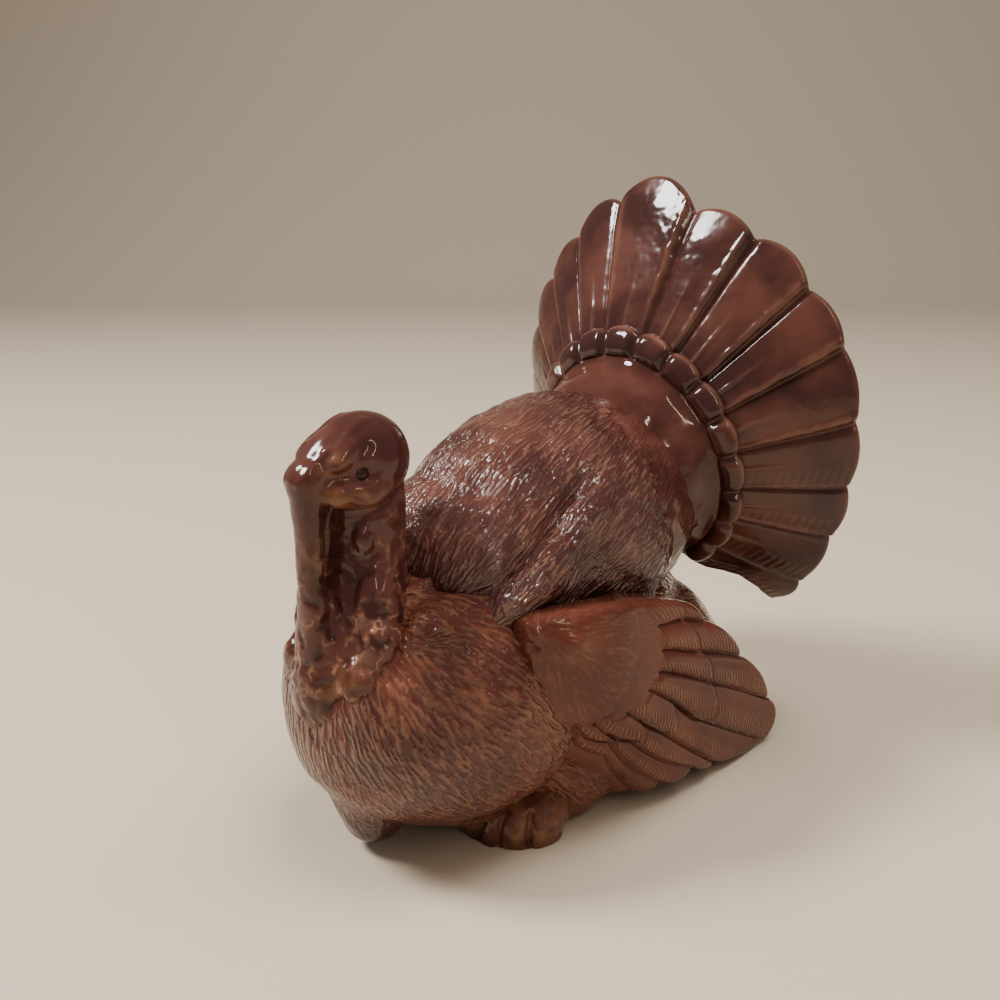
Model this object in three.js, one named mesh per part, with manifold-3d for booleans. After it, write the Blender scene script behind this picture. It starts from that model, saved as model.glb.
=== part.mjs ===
// A resting turkey figurine in glazed earthenware: slip-cast pieces luted together with slip.
// Millimetres, +Z up. The bird faces -Y and its left side is +X.
import * as THREE from "three";
import { mergeVertices } from "three/addons/utils/BufferGeometryUtils.js";
import Module from "manifold-3d";

const wasm = await Module();
wasm.setup();

// Driving dimensions. Forward and lift are measured from the foot of the tail's centre.
const castWall = 5;
const lutedGap = 0.3; // the slip line between two pieces
const pourHoleRadius = 17;

// Seam between the lower and the back casting, under the edge of the mantle
const seamRise = 24; // above the belly's middle, where it passes under the tail's centre
const seamFall = 15; // degrees, falling towards the tail

// Breast, the front of the lower casting
const breastHalfWidth = 49;
const breastHalfDepth = 54;
const breastHalfHeight = 46;
const breastLift = 51;
const breastSquarenessShare = 2.1; // 2 is a plain ellipsoid

// Belly, the rear of the lower casting
const bellyHalfWidth = 46;
const bellyHalfDepth = 62;
const bellyHalfHeight = 47;
const bellyLift = 42;
const bellyForward = 22;
const seamLift = bellyLift + seamRise;
const bellySquarenessShare = 2.5;

// Rump, the closed rear of the lower casting between the wing tips
const rumpHalfWidth = 48;
const rumpHalfDepth = 40;
const rumpHalfHeight = 36;
const rumpLift = 33;
const rumpBack = 16;

// Keel nub under the front of the breast, and the ridge that runs down to it
const keelHalfWidth = 10;
const keelHalfDepth = 8;
const keelHalfHeight = 11;
const keelForward = 99;
const keelRidgeTopHalfSide = 17;
const keelRidgeTopHalfDeep = 11;
const keelRidgeTopForward = 112;
const keelRidgeTopLift = 44;

// Mantle, the front of the back casting
const mantleHalfWidth = 46;
const mantleHalfDepth = 55;
const mantleHalfHeight = 44;
const mantleRise = 27; // above the seam
const mantleLift = seamLift + mantleRise;
const mantleForward = 20;
const mantlePitch = 18; // degrees, rising towards the tail

// Hackle, the lower front of the mantle that hangs over the breast
const hackleHalfWidth = 42;
const hackleHalfDepth = 32;
const hackleHalfHeight = 32;
const hackleDrop = 5; // below the mantle's middle
const hackleLift = mantleLift - hackleDrop;
const hackleForward = 56;

// Saddle, the bulge of the back casting in front of the tail
const saddleHalfWidth = 43;
const saddleHalfDepth = 40;
const saddleHalfHeight = 42;
const saddleRise = 4; // above the mantle's middle
const saddleLift = mantleLift + saddleRise;
const saddleForward = 2;

// Tail: a shell-shaped fan on a cone whose tip is the tail's centre
const tailRise = 5; // above the saddle's middle
const tailLift = saddleLift + tailRise;
const tailSweep = 36; // degrees that the feathers lie back from square
const tailPitch = 13; // degrees that the cone's axis rises towards the back
const featherCount = 17;
const featherTurn = 17.9; // degrees from one feather to the next
const fanTopRadius = 112;
const fanSideRadius = 95;
const fanTaperTurn = 110; // degrees from the top to where the side radius is reached
const fanScallop = 6;
const fanLeastScallop = 1.5;
const fanCrown = 4; // how much further the middle feather stands
const fanHorn = 6; // how much further the outer corner of the last feather stands
const fanThickness = 5;
const fanGroove = 1.8;
const fanInnerRadius = 22;

// Ring of covert feathers on the fan, and the plain flared root in front of it
const rootLipRadius = 51.5; // along the cone
const covertStandOff = 1; // from the root's lip to the coverts
const covertLength = 10.5; // at the top
const covertSideLength = 7.5;
const covertInnerRadius = rootLipRadius + covertStandOff;
const covertBandDepth = 2.5;
const covertBumpDepth = 3.5;
const covertScallop = 3;
const rootThroatRadius = 34;
const rootFlareLength = 24;
const rootWall = 9;

// Neck, standing against the front of the hackle
const neckTopHalfSide = 13;
const neckTopHalfDeep = 12.5;
const neckFootHalfSide = 15;
const neckFootHalfDeep = 15;
const neckFootLift = 66;
const neckRise = 56; // from the foot to the top
const neckLean = 5; // how far the top stands behind the foot
const neckFootForward = hackleForward + hackleHalfDepth + neckFootHalfDeep;
const neckTopForward = neckFootForward - neckLean;
const neckTopLift = neckFootLift + neckRise;
const breastStandOut = 21; // the breast's front, in front of the neck's foot
const breastForward = neckFootForward + breastStandOut - breastHalfDepth;

// Head, on top of the neck
const headHalfWidth = 13.5;
const headHalfDepth = 15.5;
const headHalfHeight = 14.5;
const headOverhang = 0.5; // how far it stands in front of the neck's top
const headRise = 10;
const headNod = 18; // degrees
const headForward = neckTopForward + headOverhang;
const headLift = neckTopLift + headRise;
const headFront = headForward + headHalfDepth;
const browHalfSize = 5;
const cheekHalfSize = 7.5;
const eyeHalfSize = 3.4;
const eyeProud = 0.8;
const eyePlaceShares = [0.484, -0.138]; // forward and up from the head's middle
const beakHalfWidth = 4;
const beakHalfDepth = 7;
const beakHalfHeight = 4.5;
const beakProud = 1; // its middle, in front of the head
const beakDropShare = 0.76; // its middle, of the head's half height

// Snood, the flap that hangs from the forehead over the side of the beak
const snoodKnobHalfSize = 7;
const snoodKnobProud = 2.5;
const snoodKnobDropShare = 0.17; // of the head's half height
const snoodHalfSide = 5;
const snoodHalfDeep = 3.2;
const snoodFootHalfSide = 4;
const snoodSink = 1; // how deep its middle lies in what carries it
const snoodFootRise = 16; // above the neck's foot
const snoodAside = 3; // towards the bird's left
const snoodKnobLift = headLift - snoodKnobDropShare * headHalfHeight;

// Wattles beside the foot of the neck, and the caruncles in front of it
const wattleHalfWidth = 6.5;
const wattleHalfDepth = 6;
const wattleHalfHeight = 12;
const wattleProud = 3; // its middle, beside the neck
const wattleRise = 15; // above the neck's foot
const caruncleHalfWidth = 12;
const caruncleHalfDepth = 8;
const caruncleHalfHeight = 16;
const caruncleSink = 1; // how deep its middle lies in the neck
const caruncleDrop = 2; // below the neck's foot
const caruncleForward = neckFootForward + neckFootHalfDeep - caruncleSink;
const caruncleLift = neckFootLift - caruncleDrop;
const carunclePearlHalfSize = 8;
const carunclePearlProud = 1; // its middle, beside the middle lobe
const carunclePearlBack = 6; // behind the middle lobe
const carunclePearlRise = 7; // above the middle lobe

// Wings, pressed to the sides: each face tucks in under the breast in front
const wingShoulderForward = 67;
const wingRise = 15; // above the seam
const wingShoulderLift = seamLift + wingRise;
const wingRootSpan = 55.5; // from the middle of the bird to the wing's outer face
const wingTipSpan = 59.5;
const wingTipReach = 140; // from the shoulder to the longest tip
const wingTuckDepth = 12; // how far the front edge stands in
const wingTuckLength = 34;
const wingBowDepth = 2; // how far the upper and lower edges stand in
const wingRimDepth = 3;
const wingThickness = 9;
const wingRearThickness = 16;
const wingGroove = 1.4;
const wingGrooveHalfWidth = 4;
const wingLowestDrop = 78; // of the lower edge, below the shoulder
const wingRimSharpness = 24; // how late the face rounds over
const wingSides = 112;
const wingRings = 12;
const wingMiddleShares = [0.057, 0.1]; // back and down from the shoulder, of the tip's reach
const wingFrontShares = [
  [0.271, -0.007], [0.114, -0.039], [-0.021, -0.043], [-0.057, -0.029], [-0.05, 0.093],
  [-0.021, 0.214], [0.043, 0.321], [0.121, 0.414], [0.214, 0.521],
]; // the edge from the top round the front to the bottom
const wingFeatherShares = [
  [0.307, 0.539, 0.336, 0.543], [0.364, 0.525, 0.414, 0.536], [0.471, 0.521, 0.521, 0.543],
  [0.571, 0.546, 0.693, 0.571], [0.807, 0.571, 0.85, 0.521], [0.789, 0.436, 0.743, 0.336],
  [0.643, 0.257, 0.586, 0.171], [0.486, 0.114, 0.457, 0.071],
]; // the edge from the bottom feather up: each groove's end, then the next feather's tip
const covertPadHalfLength = 25.8;
const covertPadBack = 3.5; // behind the shoulder
const covertPadDrop = 8; // below the shoulder
const covertPadProud = 2.6;

// Feet
const footHalfWidth = 9;
const footHalfLength = 14;
const footHalfHeight = 13;
const footSpread = 27; // from the middle of the bird
const footForward = 59;
const footToeIn = 28; // degrees
const toeCount = 3;
const toeHalfWidth = 4;
const toeHalfLength = 7;
const toeHalfHeight = 5;
const toeSpreadShare = 1.6; // from one toe to the next, of a toe's half width

const glazeColour = 0x5a2a1c;
const glazeRoughness = 0.15;
const turn = THREE.MathUtils.degToRad;
const tailTip = new THREE.Vector3(0, 0, tailLift);
const bodyLength = breastForward + breastHalfDepth + fanTopRadius;
const halfWay = 1 / 2;

// Solids

// A geometry as a solid, put in its place.
function solidFrom(geometry, matrix = new THREE.Matrix4()) {
  const placed = geometry.clone().applyMatrix4(matrix);
  placed.deleteAttribute("normal");
  placed.deleteAttribute("uv");
  const merged = mergeVertices(placed);
  return new wasm.Manifold(
    new wasm.Mesh({
      numProp: 3,
      vertProperties: merged.attributes.position.array,
      triVerts: new Uint32Array(merged.index.array),
    }),
  );
}

function joined(solids) {
  return solids.reduce((whole, next) => whole.add(next));
}

function cutBy(solid, cutters) {
  return cutters.reduce((left, cutter) => left.subtract(cutter), solid);
}

function bent(geometry, place) {
  const spots = geometry.attributes.position;
  const spot = new THREE.Vector3();
  for (let i = 0; i < spots.count; i += 1) {
    spot.fromBufferAttribute(spots, i);
    const moved = place(spot);
    spots.setXYZ(i, moved.x, moved.y, moved.z);
  }
  return geometry;
}

function pose(at, tilt = [0, 0, 0]) {
  const angles = new THREE.Euler(...tilt.map(turn), "ZYX");
  return new THREE.Matrix4().compose(
    new THREE.Vector3(...at),
    new THREE.Quaternion().setFromEuler(angles),
    new THREE.Vector3(1, 1, 1),
  );
}

// A rounded form: an ellipsoid, or a boxier one where its squareness is over 2.
function blob(half, at, { tilt, grow = 0, squareness = 2, sides = 12, rings = 8 } = {}) {
  const [halfX, halfY, halfZ] = half.map((size) => size + grow);
  const power = 2 / squareness;
  const ball = new THREE.SphereGeometry(1, sides, rings);
  const shaped = bent(ball, (p) => {
    const level = Math.sign(p.y) * Math.abs(p.y) ** power;
    const around = Math.hypot(p.x, p.z);
    const swell = around === 0 ? 0 : around ** power / around;
    return new THREE.Vector3(p.x * swell * halfX, -p.z * swell * halfY, level * halfZ);
  });
  return solidFrom(shaped, pose(at, tilt));
}

// An upright rounded rod between two ends, each with a place and two half sizes.
function rod(top, foot, { grow = 0, sides = 14 } = {}) {
  const capsule = new THREE.CapsuleGeometry(1, 1, 4, sides, 4);
  const topAt = new THREE.Vector3(...top.at);
  const footAt = new THREE.Vector3(...foot.at);
  const along = topAt.clone().sub(footAt).normalize();
  return solidFrom(
    bent(capsule, (p) => {
      const level = THREE.MathUtils.clamp(p.y, -halfWay, halfWay);
      const share = level + halfWay;
      const side = THREE.MathUtils.lerp(foot.halfSide, top.halfSide, share) + grow;
      const deep = THREE.MathUtils.lerp(foot.halfDeep, top.halfDeep, share) + grow;
      const spot = footAt.clone().lerp(topAt, share).addScaledVector(along, (p.y - level) * deep);
      return spot.add(new THREE.Vector3(p.x * side, -p.z * deep, 0));
    }),
  );
}

// Everything on one side of the seam, which is moved up or down by shift.
function seamBlock(shift, above) {
  const block = new THREE.BoxGeometry(2 * bodyLength, 2 * bodyLength, bodyLength);
  const centre = above ? bodyLength / 2 : -bodyLength / 2;
  block.translate(0, 0, centre);
  return solidFrom(block, pose([0, 0, seamLift + shift], [-seamFall, 0, 0]));
}

function belowTable() {
  const block = new THREE.BoxGeometry(2 * bodyLength, 2 * bodyLength, bodyLength);
  return solidFrom(block, pose([0, 0, -bodyLength / 2]));
}

// Body

function lowerForm(grow, sides, rings) {
  return joined([
    blob([breastHalfWidth, breastHalfDepth, breastHalfHeight], [0, -breastForward, breastLift], {
      grow,
      sides,
      rings,
      squareness: breastSquarenessShare,
    }),
    blob([bellyHalfWidth, bellyHalfDepth, bellyHalfHeight], [0, -bellyForward, bellyLift], {
      grow,
      sides,
      rings,
      squareness: bellySquarenessShare,
    }),
    blob([rumpHalfWidth, rumpHalfDepth, rumpHalfHeight], [0, rumpBack, rumpLift], {
      grow,
      sides,
      rings,
    }),
    rod(
      {
        at: [0, -keelRidgeTopForward, keelRidgeTopLift],
        halfSide: keelRidgeTopHalfSide,
        halfDeep: keelRidgeTopHalfDeep,
      },
      {
        at: [0, -keelForward, keelHalfHeight],
        halfSide: keelHalfWidth,
        halfDeep: keelHalfWidth,
      },
      { grow, sides: 12 },
    ),
  ]);
}

function backForm(grow, sides, rings) {
  return joined([
    blob([mantleHalfWidth, mantleHalfDepth, mantleHalfHeight], [0, -mantleForward, mantleLift], {
      tilt: [mantlePitch, 0, 0],
      grow,
      sides,
      rings,
    }),
    blob([hackleHalfWidth, hackleHalfDepth, hackleHalfHeight], [0, -hackleForward, hackleLift], {
      tilt: [mantlePitch, 0, 0],
      grow,
      sides,
      rings,
    }),
    blob([saddleHalfWidth, saddleHalfDepth, saddleHalfHeight], [0, -saddleForward, saddleLift], {
      tilt: [tailPitch, 0, 0],
      grow,
      sides,
      rings,
    }),
  ]);
}

function lowerBodyShell() {
  const backSeat = backForm(lutedGap, 24, 14).intersect(seamBlock(0, true));
  const outside = cutBy(lowerForm(0, 24, 14), [belowTable(), backSeat]);
  const inside = lowerForm(-castWall, 12, 8);
  const floor = solidFrom(
    new THREE.BoxGeometry(2 * bodyLength, 2 * bodyLength, 2 * castWall),
    pose([0, 0, 0]),
  );
  const pour = new THREE.CylinderGeometry(pourHoleRadius, pourHoleRadius, 4 * castWall, 24);
  pour.rotateX(turn(90));
  const hole = solidFrom(pour, pose([0, -bellyForward, 0]));
  return outside.subtract(inside.subtract(floor)).subtract(hole);
}

function backShell() {
  const outside = backForm(0, 24, 14).subtract(seamBlock(lutedGap, false));
  return outside.subtract(backForm(-castWall, 12, 8));
}

function bodyCutters() {
  return [
    lowerForm(lutedGap, 24, 14),
    backForm(lutedGap, 24, 14).subtract(seamBlock(0, false)),
  ];
}

function keelNub() {
  return blob([keelHalfWidth, keelHalfDepth, keelHalfHeight], [0, -keelForward, keelHalfHeight / 2]);
}

// Tail

// A point by its turn round the tail's axis from the top, its distance from the tip along the
// feathers and its lift off their face.
function tailPoint(aroundDegrees, distance, lift) {
  const around = turn(aroundDegrees);
  const sweep = turn(tailSweep);
  const out = new THREE.Vector3(Math.sin(around), 0, Math.cos(around));
  const along = out.clone().multiplyScalar(Math.cos(sweep)).setY(Math.sin(sweep));
  const face = out.clone().multiplyScalar(Math.sin(sweep)).setY(-Math.cos(sweep));
  const spot = along.multiplyScalar(distance).add(face.multiplyScalar(lift));
  return spot.applyAxisAngle(new THREE.Vector3(1, 0, 0), turn(tailPitch)).add(tailTip);
}

function fanRadius(aroundDegrees) {
  const fromTop = Math.abs(aroundDegrees);
  const place = aroundDegrees / featherTurn;
  const across = place - Math.round(place);
  const taper = Math.min(1, fromTop / fanTaperTurn);
  const scallop = Math.max(fanLeastScallop, fanScallop * (1 - taper));
  const crown = Math.round(place) === 0 ? fanCrown : 0;
  const lastShare = Math.max(0, Math.abs(place) - (featherCount / 2 - 1));
  const dome = (scallop + crown) * Math.cos(Math.PI * across);
  return THREE.MathUtils.lerp(fanTopRadius, fanSideRadius, taper) + dome + fanHorn * lastShare;
}

// Each feather is domed: 0 in the groove beside it and 1 along its middle.
function featherDome(aroundDegrees) {
  const place = aroundDegrees / featherTurn;
  return (1 + Math.cos(2 * Math.PI * (place - Math.round(place)))) / 2;
}

function fanFace(aroundDegrees, distance) {
  const outward = (distance - fanInnerRadius) / (fanRadius(aroundDegrees) - fanInnerRadius);
  return -fanGroove * (1 - featherDome(aroundDegrees)) * outward;
}

// A slab with the fan's spread: place gives each point from its turn, its share of the way
// outwards and whether it is on the front.
function fanSlab(rows, place) {
  const slab = new THREE.BoxGeometry(1, 1, 1, 4 * featherCount, rows, 1);
  const spread = featherCount * featherTurn;
  return solidFrom(bent(slab, (p) => place(p.x * spread, p.y + halfWay, p.z > 0)));
}

function fanForm() {
  return fanSlab(2, (around, outward, front) => {
    const distance = THREE.MathUtils.lerp(fanInnerRadius, fanRadius(around), outward);
    return tailPoint(around, distance, front ? fanFace(around, distance) : -fanThickness);
  });
}

function covertForm() {
  return fanSlab(3, (around, outward, front) => {
    const dome = featherDome(around);
    const taper = Math.min(1, Math.abs(around) / fanTaperTurn);
    const long = THREE.MathUtils.lerp(covertLength, covertSideLength, taper);
    const outer = covertInnerRadius + long - covertScallop * (1 - dome);
    const distance = THREE.MathUtils.lerp(covertInnerRadius, outer, outward);
    const bump = covertBandDepth + covertBumpDepth * dome * Math.sin(Math.PI * outward);
    return tailPoint(around, distance, front ? bump : fanFace(around, distance) + lutedGap);
  });
}

// A point of the tail root's profile: its radius about the tail's axis and how far it lies back.
function conePoint(distance, lift) {
  const sweep = turn(tailSweep);
  return new THREE.Vector2(
    distance * Math.cos(sweep) + lift * Math.sin(sweep),
    distance * Math.sin(sweep) - lift * Math.cos(sweep),
  );
}

// The root flares from the saddle to the fan, as a ring about the tail's axis.
function rootForm() {
  const lip = conePoint(rootLipRadius, lutedGap);
  const foot = conePoint(rootLipRadius - rootWall, lutedGap);
  const throat = new THREE.Vector2(rootThroatRadius, lip.y - rootFlareLength);
  const bore = new THREE.Vector2(foot.x, throat.y);
  const waist = new THREE.Vector2(throat.x, (throat.y + lip.y) / 2);
  const flare = new THREE.QuadraticBezierCurve(throat, waist, lip);
  const ring = new THREE.LatheGeometry([bore, ...flare.getPoints(4), foot, bore.clone()], 36);
  return solidFrom(ring, pose(tailTip.toArray(), [tailPitch, 0, 0]));
}

// Neck and head

function neckForm(grow = 0) {
  return rod(
    {
      at: [0, -neckTopForward, neckTopLift],
      halfSide: neckTopHalfSide,
      halfDeep: neckTopHalfDeep,
    },
    {
      at: [0, -neckFootForward, neckFootLift],
      halfSide: neckFootHalfSide,
      halfDeep: neckFootHalfDeep,
    },
    { grow, sides: 16 },
  );
}

function headForm(grow = 0) {
  const tilt = [headNod, 0, 0];
  const skull = [headHalfWidth, headHalfDepth, headHalfHeight];
  const browForward = headForward + eyePlaceShares[0] * headHalfDepth;
  const browLift = headLift + headHalfHeight / 4;
  const jawLift = headLift - headHalfHeight / 3;
  const jawHalfDepth = Math.hypot(headHalfDepth, headHalfDepth) / 2;
  const aside = headHalfWidth / 2;
  return joined([
    blob(skull, [0, -headForward, headLift], { tilt, grow, sides: 16, rings: 10 }),
    ...[-aside, aside].map((x) =>
      blob([browHalfSize, headHalfDepth / 2, browHalfSize], [x, -browForward, browLift], {
        tilt,
        grow,
      }),
    ),
    ...[-aside, aside].map((x) =>
      blob([cheekHalfSize, jawHalfDepth, cheekHalfSize], [x, -headForward, jawLift], { grow }),
    ),
  ]);
}

function eyeForm(side, grow = 0) {
  const [forwardShare, upShare] = eyePlaceShares;
  const face = headHalfWidth * Math.sqrt(1 - forwardShare ** 2);
  const middle = [
    side * (face + eyeProud - eyeHalfSize / 2),
    -headForward - forwardShare * headHalfDepth,
    headLift + upShare * headHalfHeight,
  ];
  return blob([eyeHalfSize / 2, eyeHalfSize, eyeHalfSize], middle, { grow });
}

function beakForm(grow = 0) {
  const middle = [0, -headFront - beakProud, headLift - beakDropShare * headHalfHeight];
  return blob([beakHalfWidth, beakHalfDepth, beakHalfHeight], middle, {
    tilt: [2 * headNod, 0, 0],
    grow,
  });
}

function snoodForm(grow = 0) {
  const knob = [snoodKnobHalfSize, snoodKnobHalfSize, snoodKnobHalfSize];
  const top = {
    at: [snoodAside, snoodSink - headFront, snoodKnobLift],
    halfSide: snoodHalfSide,
    halfDeep: snoodHalfDeep,
  };
  const foot = {
    at: [
      snoodAside / 2,
      snoodSink - neckFootForward - neckFootHalfDeep,
      neckFootLift + snoodFootRise,
    ],
    halfSide: snoodFootHalfSide,
    halfDeep: snoodHalfDeep,
  };
  return joined([
    blob(knob, [0, -headFront - snoodKnobProud, snoodKnobLift], { grow }),
    rod(top, foot, { grow }),
  ]);
}

function wattleForm(side, grow = 0) {
  return blob(
    [wattleHalfWidth, wattleHalfDepth, wattleHalfHeight],
    [side * (neckFootHalfSide + wattleProud), -neckFootForward, neckFootLift + wattleRise],
    { grow },
  );
}

function caruncleForm() {
  const lobe = [caruncleHalfWidth, caruncleHalfDepth, caruncleHalfHeight];
  const pearl = [carunclePearlHalfSize, carunclePearlHalfSize, carunclePearlHalfSize];
  const aside = caruncleHalfWidth + carunclePearlProud;
  return joined([
    blob(lobe, [0, -caruncleForward, caruncleLift]),
    ...[-aside, aside].map((x) =>
      blob(pearl, [x, carunclePearlBack - caruncleForward, caruncleLift + carunclePearlRise]),
    ),
  ]);
}

// Wings

function wingEdge() {
  const spot = ([back, drop]) => new THREE.Vector3(back, drop, 0).multiplyScalar(wingTipReach);
  const feathers = wingFeatherShares.flatMap(([back, drop, tipBack, tipDrop]) => [
    [back, drop],
    [tipBack, tipDrop],
  ]);
  const points = [...wingFrontShares, ...feathers].map(spot);
  return new THREE.CatmullRomCurve3(points, true, "centripetal");
}

// How far the front edge lies behind the shoulder at a drop below it.
function wingFrontAt(drop) {
  const line = wingFrontShares.map((pair) => pair.map((share) => share * wingTipReach)).slice(3);
  const next = line.findIndex((pair) => pair[1] > drop);
  if (next === 0) return line[0][0];
  if (next < 0) return line[line.length - 1][0];
  const [from, to] = [line[next - 1], line[next]];
  return THREE.MathUtils.mapLinear(drop, from[1], to[1], from[0], to[0]);
}

function wingFaceAt(back, drop) {
  const rise = THREE.MathUtils.clamp((back - wingFrontAt(drop)) / wingTuckLength, 0, 1);
  const span = THREE.MathUtils.lerp(wingRootSpan, wingTipSpan, back / wingTipReach);
  const middle = wingLowestDrop / 2;
  const bow = wingBowDepth * ((drop - middle) / middle) ** 2;
  return span - wingTuckDepth * (1 - rise) ** 2 - bow;
}

// A flat shell: rings on the front face, round the rim and back in behind.
function wingForm(grow = 0, proud = 0) {
  const edge = wingEdge();
  const middle = new THREE.Vector3(...wingMiddleShares, 0).multiplyScalar(wingTipReach);
  const notches = wingFeatherShares.map(([back, drop]) =>
    new THREE.Vector3(back, drop, 0).multiplyScalar(wingTipReach),
  );
  const ball = new THREE.SphereGeometry(1, wingSides, wingRings);
  const shell = bent(ball, (p) => {
    const around = Math.atan2(p.z, -p.x) / (2 * Math.PI);
    const fromPole = Math.acos(THREE.MathUtils.clamp(Math.abs(p.y), 0, 1)) / (Math.PI / 2);
    const outward = 1 - (1 - fromPole) ** 2;
    const rim = edge.getPointAt((around + 1) % 1);
    const near = Math.min(...notches.map((notch) => notch.distanceTo(rim)));
    const out = rim.clone().sub(middle).setLength(grow);
    const spot = middle.clone().lerp(rim.add(out), outward);
    const groove = wingGroove * Math.max(0, 1 - near / wingGrooveHalfWidth) * outward;
    const face = wingFaceAt(spot.x, spot.y);
    const share = Math.min(1, spot.length() / wingTipReach);
    const depth = THREE.MathUtils.lerp(wingThickness, wingRearThickness, share) + grow;
    const rounding = wingRimDepth * outward ** wingRimSharpness;
    const top = face + proud + grow - groove - rounding;
    return new THREE.Vector3(
      p.y > -1 / wingRings ? top : face - depth,
      spot.x - wingShoulderForward,
      wingShoulderLift - spot.y,
    );
  });
  return solidFrom(shell);
}

// The shoulder's pad, a thicker layer on the wing's face.
function wingCovertForm() {
  const round = blob(
    [covertPadHalfLength, covertPadHalfLength, covertPadHalfLength],
    [wingRootSpan, covertPadBack - wingShoulderForward, wingShoulderLift - covertPadDrop],
    { sides: 28, rings: 18 },
  );
  return wingForm(0, covertPadProud).intersect(round);
}

// Feet

function footForm() {
  const pad = blob(
    [footHalfWidth, footHalfLength, footHalfHeight],
    [footSpread, -footForward, footHalfHeight / 4],
    { tilt: [0, 0, -footToeIn] },
  );
  const toes = Array.from({ length: toeCount }, (_, i) => {
    const fromMiddle = i - (toeCount - 1) / 2;
    const fanned = (fromMiddle / 2 - 1) * footToeIn;
    const reach = footHalfLength / 2;
    const at = [
      footSpread + fromMiddle * toeSpreadShare * toeHalfWidth - reach * Math.sin(turn(footToeIn)),
      -footForward - reach * Math.cos(turn(footToeIn)),
      toeHalfHeight / 2,
    ];
    const toe = [toeHalfWidth, toeHalfLength, toeHalfHeight];
    return blob(toe, at, { tilt: [0, 0, fanned], sides: 10, rings: 6 });
  });
  return joined([pad, ...toes]);
}

// Assembly

// A mesh stands at its own anchor, with its geometry measured from there.
function meshOf(name, solid, anchor, mirror = false) {
  const made = solid.getMesh();
  const places = Float32Array.from(made.vertProperties);
  const corners = Uint32Array.from(made.triVerts);
  const geometry = new THREE.BufferGeometry();
  geometry.setAttribute("position", new THREE.BufferAttribute(places, made.numProp));
  geometry.translate(-anchor[0], -anchor[1], -anchor[2]);
  if (mirror) {
    geometry.scale(-1, 1, 1);
    corners.reverse();
  }
  geometry.setIndex(new THREE.BufferAttribute(corners, 1));
  geometry.computeVertexNormals();
  const glaze = new THREE.MeshStandardMaterial({ color: glazeColour, roughness: glazeRoughness });
  const mesh = new THREE.Mesh(geometry, glaze);
  mesh.name = name;
  mesh.position.set(mirror ? -anchor[0] : anchor[0], anchor[1], anchor[2]);
  return mesh;
}

const body = bodyCutters();
const table = belowTable();
const tailAt = tailTip.toArray();
const neckAt = [0, -neckTopForward, neckTopLift];
const headAt = [0, -headForward, headLift];
const wingAt = [wingRootSpan, -wingShoulderForward, wingShoulderLift];
const footAt = [footSpread, -footForward, 0];

const tailRootSolid = cutBy(rootForm(), body);
const fanSolid = cutBy(fanForm(), body);
const covertSolid = cutBy(covertForm(), body);
const wingSolid = cutBy(wingForm(), [...body, table]);
const wingCovertSolid = cutBy(wingCovertForm(), [wingForm(lutedGap), ...body]);
const headSolid = cutBy(headForm(), [eyeForm(1, lutedGap), eyeForm(-1, lutedGap)]);
const neckSolid = cutBy(neckForm(), [headForm(lutedGap), ...body]);
const beakSolid = cutBy(beakForm(), [headForm(lutedGap), neckForm(lutedGap)]);
const snoodCutters = [headForm(lutedGap), neckForm(lutedGap), beakForm(lutedGap), ...body];
const snoodSolid = cutBy(snoodForm(), snoodCutters);
const wattleSolid = cutBy(wattleForm(1), [neckForm(lutedGap), ...body]);
const caruncleCutters = [
  neckForm(lutedGap),
  snoodForm(lutedGap),
  wattleForm(1, lutedGap),
  wattleForm(-1, lutedGap),
  ...body,
];
const caruncleSolid = cutBy(caruncleForm(), caruncleCutters);
const footSolid = cutBy(footForm(), [...body, table]);

const turkey = new THREE.Group();
turkey.add(
  meshOf("lower_body_shell", lowerBodyShell(), [0, 0, 0]),
  meshOf("back_shell", backShell(), [0, 0, seamLift]),
  meshOf("keel_nub", cutBy(keelNub(), [...body, table]), [0, -keelForward, 0]),
  meshOf("tail_fan", fanSolid, tailAt),
  meshOf("tail_covert_ring", covertSolid, tailAt),
  meshOf("tail_root_collar", tailRootSolid, tailAt),
  meshOf("neck", neckSolid, neckAt),
  meshOf("head", headSolid, headAt),
  meshOf("beak", beakSolid, headAt),
  meshOf("snood", snoodSolid, headAt),
  meshOf("caruncle_cluster", caruncleSolid, [0, -caruncleForward, caruncleLift]),
);
for (const side of ["left", "right"]) {
  const mirror = side === "right";
  turkey.add(
    meshOf(`eye_${side}`, eyeForm(1), headAt, mirror),
    meshOf(`wattle_${side}`, wattleSolid, neckAt, mirror),
    meshOf(`wing_${side}`, wingSolid, wingAt, mirror),
    meshOf(`wing_coverts_${side}`, wingCovertSolid, wingAt, mirror),
    meshOf(`foot_${side}`, footSolid, footAt, mirror),
  );
}

// The origin lies on the table under the middle of the part's box.
const box = new THREE.Box3().setFromObject(turkey);
turkey.position.y = -(box.min.y + box.max.y) / 2;
export default turkey;
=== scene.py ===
import math

import bmesh
import bpy
import numpy as np
from mathutils import Matrix, Vector, noise


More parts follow.
